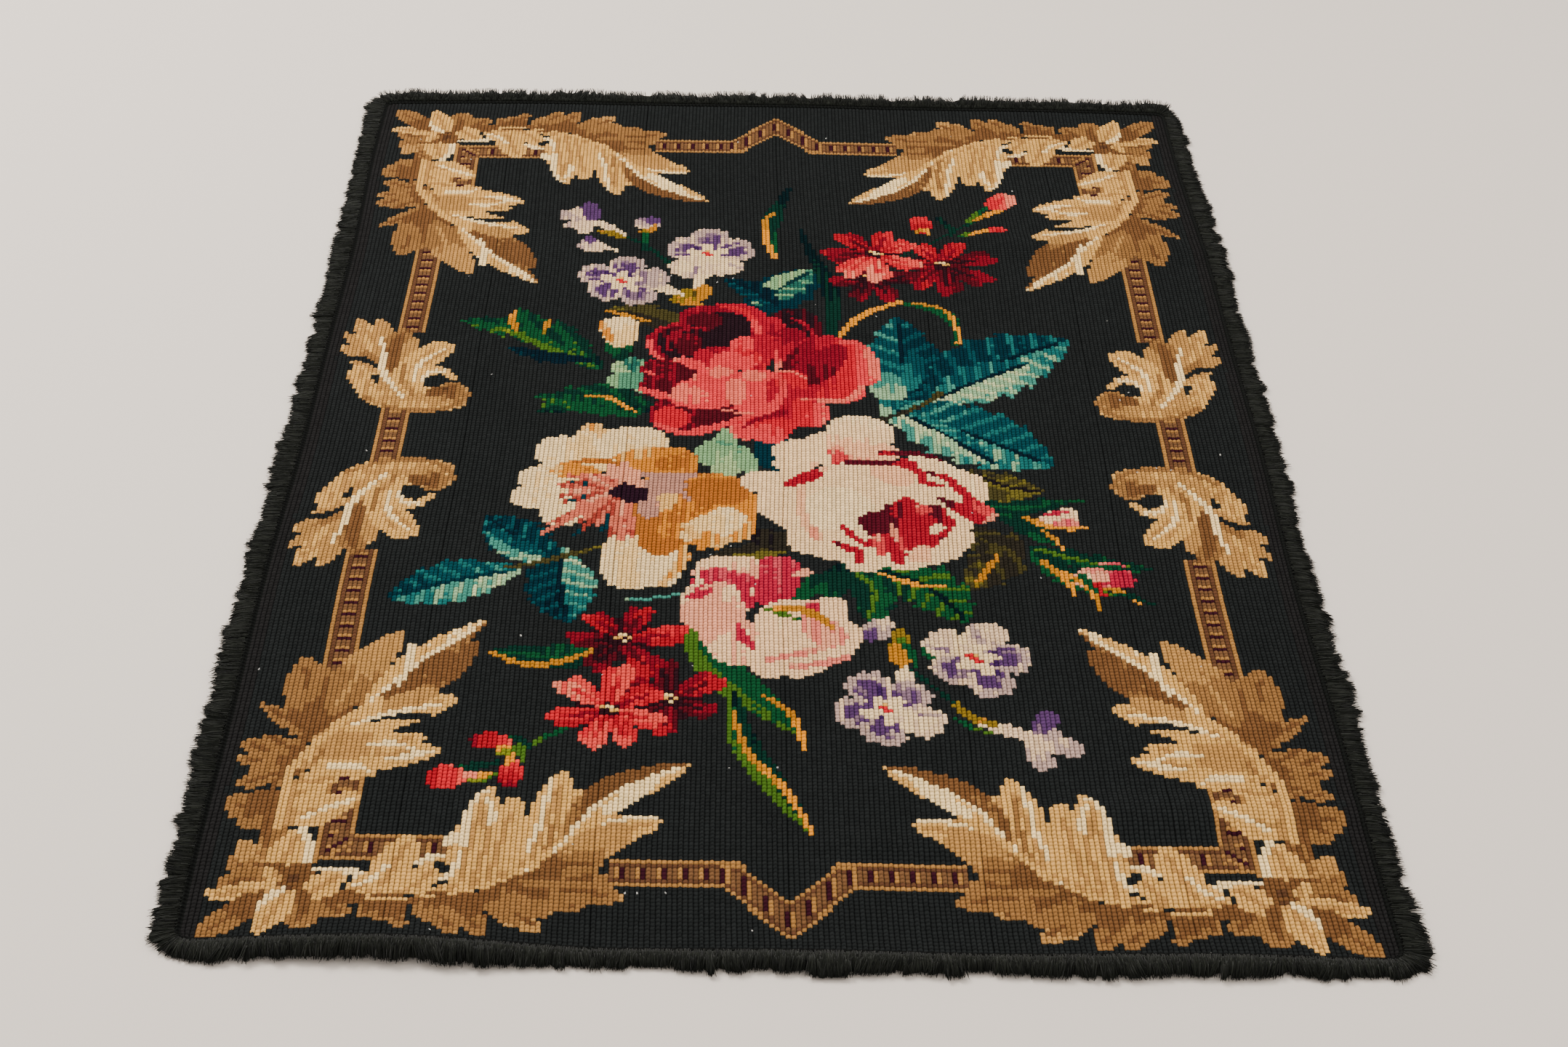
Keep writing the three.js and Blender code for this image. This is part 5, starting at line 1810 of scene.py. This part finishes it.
# Finishes
class Nodes:
    """Short hand for building a material's nodes."""

    def __init__(self, name: str) -> None:
        """Makes a new material with its shader.

        Args:
            name: The material's name.
        """
        self.material = bpy.data.materials.new(name)
        self.material.use_nodes = True
        self.tree = self.material.node_tree
        self.shader = self.tree.nodes["Principled BSDF"]

    def node(self, kind: str, **settings: object) -> bpy.types.Node:
        """Adds a node.

        Args:
            kind: Its type, without the words that all types begin with.
            settings: Its properties by name.

        Returns:
            The node.
        """
        made = self.tree.nodes.new("ShaderNode" + kind)
        for key, value in settings.items():
            setattr(made, key, value)
        return made

    def link(self, source: bpy.types.NodeSocket, target: bpy.types.NodeSocket) -> None:
        """Joins two sockets."""
        self.tree.links.new(source, target)

    def feed(self, socket: bpy.types.NodeSocket, value: object) -> None:
        """Sets an input to a value, or joins another node's output to it.

        Args:
            socket: The input.
            value: A number, a colour or an output.
        """
        if isinstance(value, (int, float, tuple)):
            socket.default_value = value
        else:
            self.link(value, socket)

    def math(self, operation: str, a: object, b: object = 0.0) -> object:
        """Adds a math node.

        Args:
            operation: What it does.
            a: Its first input, a number or an output.
            b: Its second one.

        Returns:
            Its output.
        """
        made = self.node("Math", operation=operation)
        for socket, value in zip(made.inputs, (a, b)):
            self.feed(socket, value)
        return made.outputs[0]

    def times(self, a: object, b: object) -> object:
        """The product of two values."""
        return self.math("MULTIPLY", a, b)

    def plus(self, a: object, b: object) -> object:
        """Their sum."""
        return self.math("ADD", a, b)

    def less(self, a: object, b: object) -> object:
        """The first less the second."""
        return self.math("SUBTRACT", a, b)

    def mix(self, share: object, a: object, b: object, blend: str = "MIX") -> object:
        """Adds a mix of two colours.

        Args:
            share: Share of the second colour, a number or an output.
            a: The first colour, or an output.
            b: The second one.
            blend: How they mix.

        Returns:
            Its output.
        """
        made = self.node("Mix", data_type="RGBA", blend_type=blend)
        for number, value in ((0, share), (6, a), (7, b)):
            self.feed(made.inputs[number], value)
        return made.outputs[2]

    def ramp(self, value: object, stops: tuple[tuple[float, float], ...]) -> object:
        """Adds a map from a value to grey.

        Args:
            value: The output that it reads.
            stops: Values and their greys, in order.

        Returns:
            Its output.
        """
        made = self.node("ValToRGB")
        elements = made.color_ramp.elements
        while len(elements) < len(stops):
            elements.new(0.5)
        for element, (at, grey) in zip(elements, stops):
            element.position = at
            element.color = (grey, grey, grey, 1)
        self.link(value, made.inputs[0])
        return made.outputs[0]

    def noise(self, vector: object, scale: float, detail: float = 2.0) -> object:
        """Adds a noise texture.

        Args:
            vector: The output that gives its place.
            scale: Its spots for each unit of the place.
            detail: Its finer layers.

        Returns:
            Its value from 0 to 1.
        """
        made = self.node("TexNoise")
        made.inputs["Scale"].default_value = scale
        made.inputs["Detail"].default_value = detail
        self.link(vector, made.inputs["Vector"])
        return made.outputs[0]

    def bump(self, height: object, distance: float, strength: float) -> object:
        """Adds a bump.

        Args:
            height: The output that it takes for the height.
            distance: The height of a full step in metres.
            strength: How strongly it shows.

        Returns:
            Its normal.
        """
        made = self.node("Bump")
        made.inputs["Distance"].default_value = distance
        made.inputs["Strength"].default_value = strength
        self.link(height, made.inputs["Height"])
        return made.outputs[0]


@dataclass(frozen=True)
class StitchedWool:
    """Thick dyed wool in cross-stitches: plump strands with painted light on top, painted shade in holes
    and grooves, soft sheen.

    Attributes:
        rough: Roughness of the wool.
        sheen: Weight of its soft sheen.
        shine: Level of its plain reflection.
        strand: Depth of the strands' bump.
        vary: How much the dye varies from stitch to stitch.
        slant: How much a gap between rows rises across a stitch.
        plies: Closeness of the plies across a strand, in radians a stitch.
        hollow_shade: How much painted shade darkens the holes, the columns' grooves and the rows' grooves.
        lint: Share of the thirds of a stitch that carry a speck of pale lint.
        pale: Linear colour of the lint.
    """

    rough: float = 0.85
    sheen: float = 0.004
    shine: float = 0.005
    strand: float = 0.4 * MM
    vary: float = 0.11
    slant: float = 0.36
    plies: float = 44.0
    hollow_shade: tuple[float, float, float] = (0.45, 0.74, 0.36)
    lint: float = 0.00009
    pale: tuple[float, float, float, float] = (0.3, 0.29, 0.27, 1)

    def material(self) -> bpy.types.Material:
        """Builds the finish.

        The stitch's own place is the fraction of the place in stitches. The upper strand is
        a swelling along the diagonal of the stitch, its colour lightened there as painted light; fine
        plies repeat across it. Painted shade darkens the holes at the corners and the grooves between
        columns and rows, and a noise value per stitch, a slow noise, lanes along the rug and fine
        fuzz vary the dye.

        Returns:
            The material.
        """
        n = Nodes("stitched wool")
        place = n.node("Attribute", attribute_name="stitch_place")
        dye = n.node("Attribute", attribute_name="Dye")
        split = n.node("SeparateXYZ")
        n.link(place.outputs["Vector"], split.inputs[0])
        fx = n.math("FRACT", split.outputs[0])
        fy = n.math("FRACT", split.outputs[1])
        cx = n.less(fx, 0.5)
        cy = n.less(fy, 0.5)
        across = n.less(n.times(cy, 0.75), n.times(cx, 0.75))
        far = n.math("ABSOLUTE", across)
        upper = n.ramp(far, ((0.0, 1.0), (0.2, 0.85), (0.34, 0.25), (0.5, 0.0)))
        plies = n.math("SINE", n.times(across, self.plies))
        ply = n.times(n.plus(plies, 1.0), 0.5)
        ax, ay = n.math("ABSOLUTE", cx), n.math("ABSOLUTE", cy)
        corner = n.times(n.times(ax, 2.0), n.times(ay, 2.0))
        hole = n.ramp(corner, ((0.0, 0.0), (0.42, 0.05), (0.75, 0.8), (1.0, 1.0)))
        groove = n.ramp(ax, ((0.0, 0.0), (0.32, 0.0), (0.5, 1.0)))
        leaning = n.plus(split.outputs[1], n.times(cx, self.slant))
        row = n.math("ABSOLUTE", n.less(n.math("FRACT", leaning), 0.5))
        row_groove = n.ramp(row, ((0.0, 0.0), (0.3, 0.0), (0.5, 1.0)))
        cell = n.node("VectorMath", operation="FLOOR")
        n.link(place.outputs["Vector"], cell.inputs[0])
        each = n.node("TexWhiteNoise", noise_dimensions="3D")
        n.link(cell.outputs[0], each.inputs["Vector"])
        slow = n.noise(place.outputs["Vector"], 0.035, 3.0)
        streak = n.node("Mapping")
        streak.inputs["Scale"].default_value = (0.9, 0.03, 1.0)
        n.link(place.outputs["Vector"], streak.inputs["Vector"])
        lane = n.noise(streak.outputs[0], 1.0, 1.0)
        fuzz = n.noise(place.outputs["Vector"], 9.0, 3.0)
        value = n.plus(1.0 - self.vary, n.times(each.outputs[0], 2 * self.vary))
        # Painted light: the raised upper strand is lighter; slow, lane and fuzz vary the tone at random
        causes = ((slow, 0.86, 0.28), (lane, 0.88, 0.24), (fuzz, 0.84, 0.32), (upper, 0.98, 0.3))
        for cause, least, more in causes:
            change = n.plus(least, n.times(cause, more))
            value = n.times(value, change)
        # Painted shade: the holes and the grooves between columns and rows darken the dye
        for hollow_shade, share in zip((hole, groove, row_groove), self.hollow_shade):
            left = n.less(1.0, n.times(hollow_shade, share))
            value = n.times(value, left)
        grey = n.node("CombineColor")
        for socket in grey.inputs[:3]:
            n.link(value, socket)
        colour = n.mix(1.0, dye.outputs["Color"], grey.outputs[0], "MULTIPLY")
        small = n.node("VectorMath", operation="SCALE")
        small.inputs["Scale"].default_value = 3.0
        n.link(place.outputs["Vector"], small.inputs[0])
        speck = n.node("VectorMath", operation="FLOOR")
        n.link(small.outputs[0], speck.inputs[0])
        chance = n.node("TexWhiteNoise", noise_dimensions="3D")
        n.link(speck.outputs[0], chance.inputs["Vector"])
        lint = n.math("GREATER_THAN", chance.outputs[0], 1.0 - self.lint)
        colour = n.mix(lint, colour, self.pale)
        n.link(colour, n.shader.inputs["Base Color"])
        height = n.plus(n.times(upper, 0.7), n.times(ply, 0.16))
        height = n.plus(height, n.times(fuzz, 0.25))
        height = n.less(height, n.times(hole, 0.5))
        height = n.less(height, n.times(row_groove, 0.6))
        n.link(n.bump(height, self.strand, 1.0), n.shader.inputs["Normal"])
        n.shader.inputs["Roughness"].default_value = self.rough
        n.shader.inputs["Specular IOR Level"].default_value = self.shine
        n.shader.inputs["Sheen Weight"].default_value = self.sheen
        n.shader.inputs["Sheen Roughness"].default_value = 0.45
        return n.material


@dataclass(frozen=True)
class BoundCanvas:
    """The canvas: woven jute threads and the backs of the stitches below, wool at the rim.

    Attributes:
        wool: Linear colour of the rim.
        back: Linear colours of the backs of the stitches and of the threads.
    """

    wool: tuple[float, float, float, float] = (0.0042, 0.0047, 0.0042, 1)
    back: tuple[tuple[float, float, float, float], ...] = (
        (0.011, 0.012, 0.0115, 1),
        (0.19, 0.15, 0.09, 1),
    )

    def material(self) -> bpy.types.Material:
        """Builds the finish.

        Two crossing waves a stitch make the threads and a noise the wool, and the third part
        of the stitch place tells the rim from the back.

        Returns:
            The material.
        """
        n = Nodes("bound canvas")
        place = n.node("Attribute", attribute_name="stitch_place")
        split = n.node("SeparateXYZ")
        n.link(place.outputs["Vector"], split.inputs[0])
        sx = n.math("SINE", n.times(split.outputs[0], 2 * math.pi))
        sy = n.math("SINE", n.times(split.outputs[1], 2 * math.pi))
        dash = n.times(n.plus(sx, 1.0), 0.5)
        row = n.times(n.plus(sy, 1.0), 0.5)
        thread = n.times(n.less(1.0, dash), n.plus(0.3, row))
        fuzz = n.noise(place.outputs["Vector"], 6.0, 4.0)
        shown = n.ramp(thread, ((0.0, 0.0), (0.72, 0.0), (1.0, 0.75)))
        back = n.mix(shown, self.back[0], self.back[1])
        # Painted shade: the rim's wool darkens in the troughs between its ribs
        shaded_ribs = n.ramp(n.times(n.plus(dash, row), 0.5), ((0.15, 0.15), (0.8, 1.0)))
        wool = n.mix(1.0, self.wool, shaded_ribs, "MULTIPLY")
        colour = n.mix(split.outputs[2], back, wool)
        shade = n.ramp(fuzz, ((0.3, 0.7), (0.7, 1.3)))
        colour = n.mix(0.8, colour, shade, "MULTIPLY")
        n.link(colour, n.shader.inputs["Base Color"])
        height = n.plus(n.times(dash, 0.7), n.times(row, 0.3))
        height = n.plus(height, n.times(fuzz, 0.5))
        n.link(n.bump(height, 0.6 * MM, 0.9), n.shader.inputs["Normal"])
        n.shader.inputs["Roughness"].default_value = 0.9
        n.shader.inputs["Specular IOR Level"].default_value = 0.02
        n.shader.inputs["Sheen Weight"].default_value = 0.01
        return n.material


@dataclass(frozen=True)
class FringeWool:
    """Black cut wool, a little greener and browner from strand to strand.

    Attributes:
        dark: Linear colour of the darkest strands.
        light: Linear colour of the lightest ones.
    """

    dark: tuple[float, float, float, float] = (0.0008, 0.001, 0.0009, 1)
    light: tuple[float, float, float, float] = (0.0115, 0.0128, 0.0098, 1)

    def material(self) -> bpy.types.Material:
        """Builds the finish.

        Noises drawn out along the strands set the colour and the fibres, by the place along
        the rim, out from it and from strand to strand.

        Returns:
            The material.
        """
        n = Nodes("fringe wool")
        place = n.node("Attribute", attribute_name="strand_place")

        def drawn_out(along: float, out: float) -> object:
            """Adds a noise that is drawn out along the strands.

            Args:
                along: Its spots for each metre along the rim.
                out: Its spots for each metre out from it.

            Returns:
                Its value.
            """
            stretch = n.node("Mapping")
            stretch.inputs["Scale"].default_value = (along, out, 7.0)
            n.link(place.outputs["Vector"], stretch.inputs["Vector"])
            return n.noise(stretch.outputs[0], 1.0)

        tuft = drawn_out(170.0, 22.0)
        strand = drawn_out(950.0, 60.0)
        share = n.plus(n.times(tuft, 0.45), n.times(strand, 0.55))
        colour = n.mix(n.ramp(share, ((0.36, 0.0), (0.66, 1.0))), self.dark, self.light)
        n.link(colour, n.shader.inputs["Base Color"])
        height = n.plus(n.times(tuft, 1.4), strand)
        n.link(n.bump(height, 0.9 * MM, 0.9), n.shader.inputs["Normal"])
        n.shader.inputs["Roughness"].default_value = 0.88
        n.shader.inputs["Specular IOR Level"].default_value = 0.06
        n.shader.inputs["Sheen Weight"].default_value = 0.04
        n.shader.inputs["Sheen Roughness"].default_value = 0.4
        return n.material


@dataclass(frozen=True)
class PaleFloor:
    """A plain pale floor.

    Attributes:
        colour: Its linear colour.
    """

    colour: tuple[float, float, float, float] = (0.5, 0.45, 0.4, 1)

    def material(self) -> bpy.types.Material:
        """Builds the finish.

        Returns:
            The material.
        """
        n = Nodes("pale floor")
        n.shader.inputs["Base Color"].default_value = self.colour
        n.shader.inputs["Roughness"].default_value = 0.7
        return n.material


# The studio
@dataclass
class Studio:
    """Floor, soft light and the camera at the photograph's angle.

    Attributes:
        image: Size of the photograph in pixels.
        focal: Focal length in its pixels.
        pitch: Turn of the camera down from level, in radians.
        yaw: Its turn about the upright.
        roll: Its turn about its own axis.
        place: Its place from the middle of the border's frame, in stitches.
        sensor: Width of its sensor in millimetres.
    """

    image: tuple[int, int] = (2157, 1440)
    focal: float = 3336.37
    pitch: float = 0.65097
    yaw: float = -0.026929
    roll: float = 0.028197
    place: tuple[float, float, float] = (-11.677, -466.07, 330.19)
    sensor: float = 36.0

    def camera(self) -> None:
        """Sets the camera."""
        data = bpy.data.cameras.new("camera")
        data.sensor_width = self.sensor
        data.lens = self.sensor * self.focal / self.image[0]
        data.clip_start = 0.05
        data.clip_end = 50.0
        camera = bpy.data.objects.new("camera", data)
        bpy.context.scene.collection.objects.link(camera)
        turn = (
            Matrix.Rotation(self.yaw, 4, "Z")
            @ Matrix.Rotation(math.pi / 2 - self.pitch, 4, "X")
            @ Matrix.Rotation(self.roll, 4, "Z")
        )
        frame_y = (FRAME_ROW - ROWS / 2) * STITCH
        x, y, z = (value * STITCH for value in self.place)
        middle = Vector((x - LAY.middle[0], y + frame_y - LAY.middle[1], z + THICK))
        camera.matrix_world = Matrix.Translation(middle) @ turn
        bpy.context.scene.camera = camera

    def floor(self, finish: PaleFloor) -> None:
        """Lays the floor.

        Args:
            finish: Its finish.
        """
        corners = np.array([(-4, -4, 0), (4, -4, 0), (4, 6, 0), (-4, 6, 0)], float)
        floor = new_mesh("floor", corners, np.arange(4), np.array([0]))
        floor.data.materials.append(finish.material())

    def light(self) -> None:
        """Hangs two large soft lamps and a dim even sky."""
        world = bpy.data.worlds.new("studio")
        world.use_nodes = True
        sky = world.node_tree.nodes["Background"]
        sky.inputs["Color"].default_value = (1.0, 0.97, 0.94, 1)
        sky.inputs["Strength"].default_value = 1.3
        bpy.context.scene.world = world
        lamps = (
            ("window", (-2.1, 1.7, 3.2), 330.0, 2.0, (1.0, 0.955, 0.9)),
            ("fill", (2.6, -0.6, 2.8), 90.0, 2.6, (1.0, 0.95, 0.89)),
        )
        for name, place, power, size, colour in lamps:
            data = bpy.data.lights.new(name, "AREA")
            data.energy = power
            data.size = size
            data.color = colour
            lamp = bpy.data.objects.new(name, data)
            bpy.context.scene.collection.objects.link(lamp)
            lamp.location = place
            aim = Vector((0, 0.1, 0)) - Vector(place)
            lamp.rotation_euler = aim.to_track_quat("-Z", "Y").to_euler()


def finish_piece(piece: bpy.types.Object, material: bpy.types.Material) -> None:
    """Gives a piece its finish, and makes it ride on the rug's body.

    Args:
        piece: The piece.
        material: Its material.
    """
    piece.data.materials.append(material)
    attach(piece, "root")
    LOG.info("%s: %d faces", piece.name, len(piece.data.polygons))


def main() -> None:
    """Builds the studio, the rug's pieces and their finishes in order."""
    logging.basicConfig(level=logging.INFO, format="%(name)s: %(message)s")
    studio = Studio()
    studio.camera()
    studio.light()
    studio.floor(PaleFloor())

    chart = Chart()
    draw_rug(chart)

    wool = StitchedWool().material()
    face = StitchedFace(chart)
    face.build()
    for piece in face.pieces:
        finish_piece(piece, wool)

    canvas = Canvas()
    canvas.build()
    finish_piece(canvas.piece, BoundCanvas().material())
    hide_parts("rug_cloth")

    fringe_wool = FringeWool().material()
    fringes = (
        Fringe(Side.NEAR, 18 * MM, 4200, 5.6 * MM, (0.5 * MM, 2.6 * MM), hang=0.45),
        Fringe(Side.RIGHT, 20 * MM, 4900, 4.6 * MM, (0.5 * MM, 4.6 * MM)),
        Fringe(Side.FAR, 20 * MM, 3600, 6.0 * MM, (2.0 * MM, 11.0 * MM)),
        Fringe(Side.LEFT, 20 * MM, 4900, 4.6 * MM, (0.5 * MM, 4.6 * MM)),
    )
    for fringe in fringes:
        fringe.build()
        finish_piece(fringe.piece, fringe_wool)
        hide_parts("fringe_" + fringe.side.name.lower())


if __name__ == "__main__":
    main()
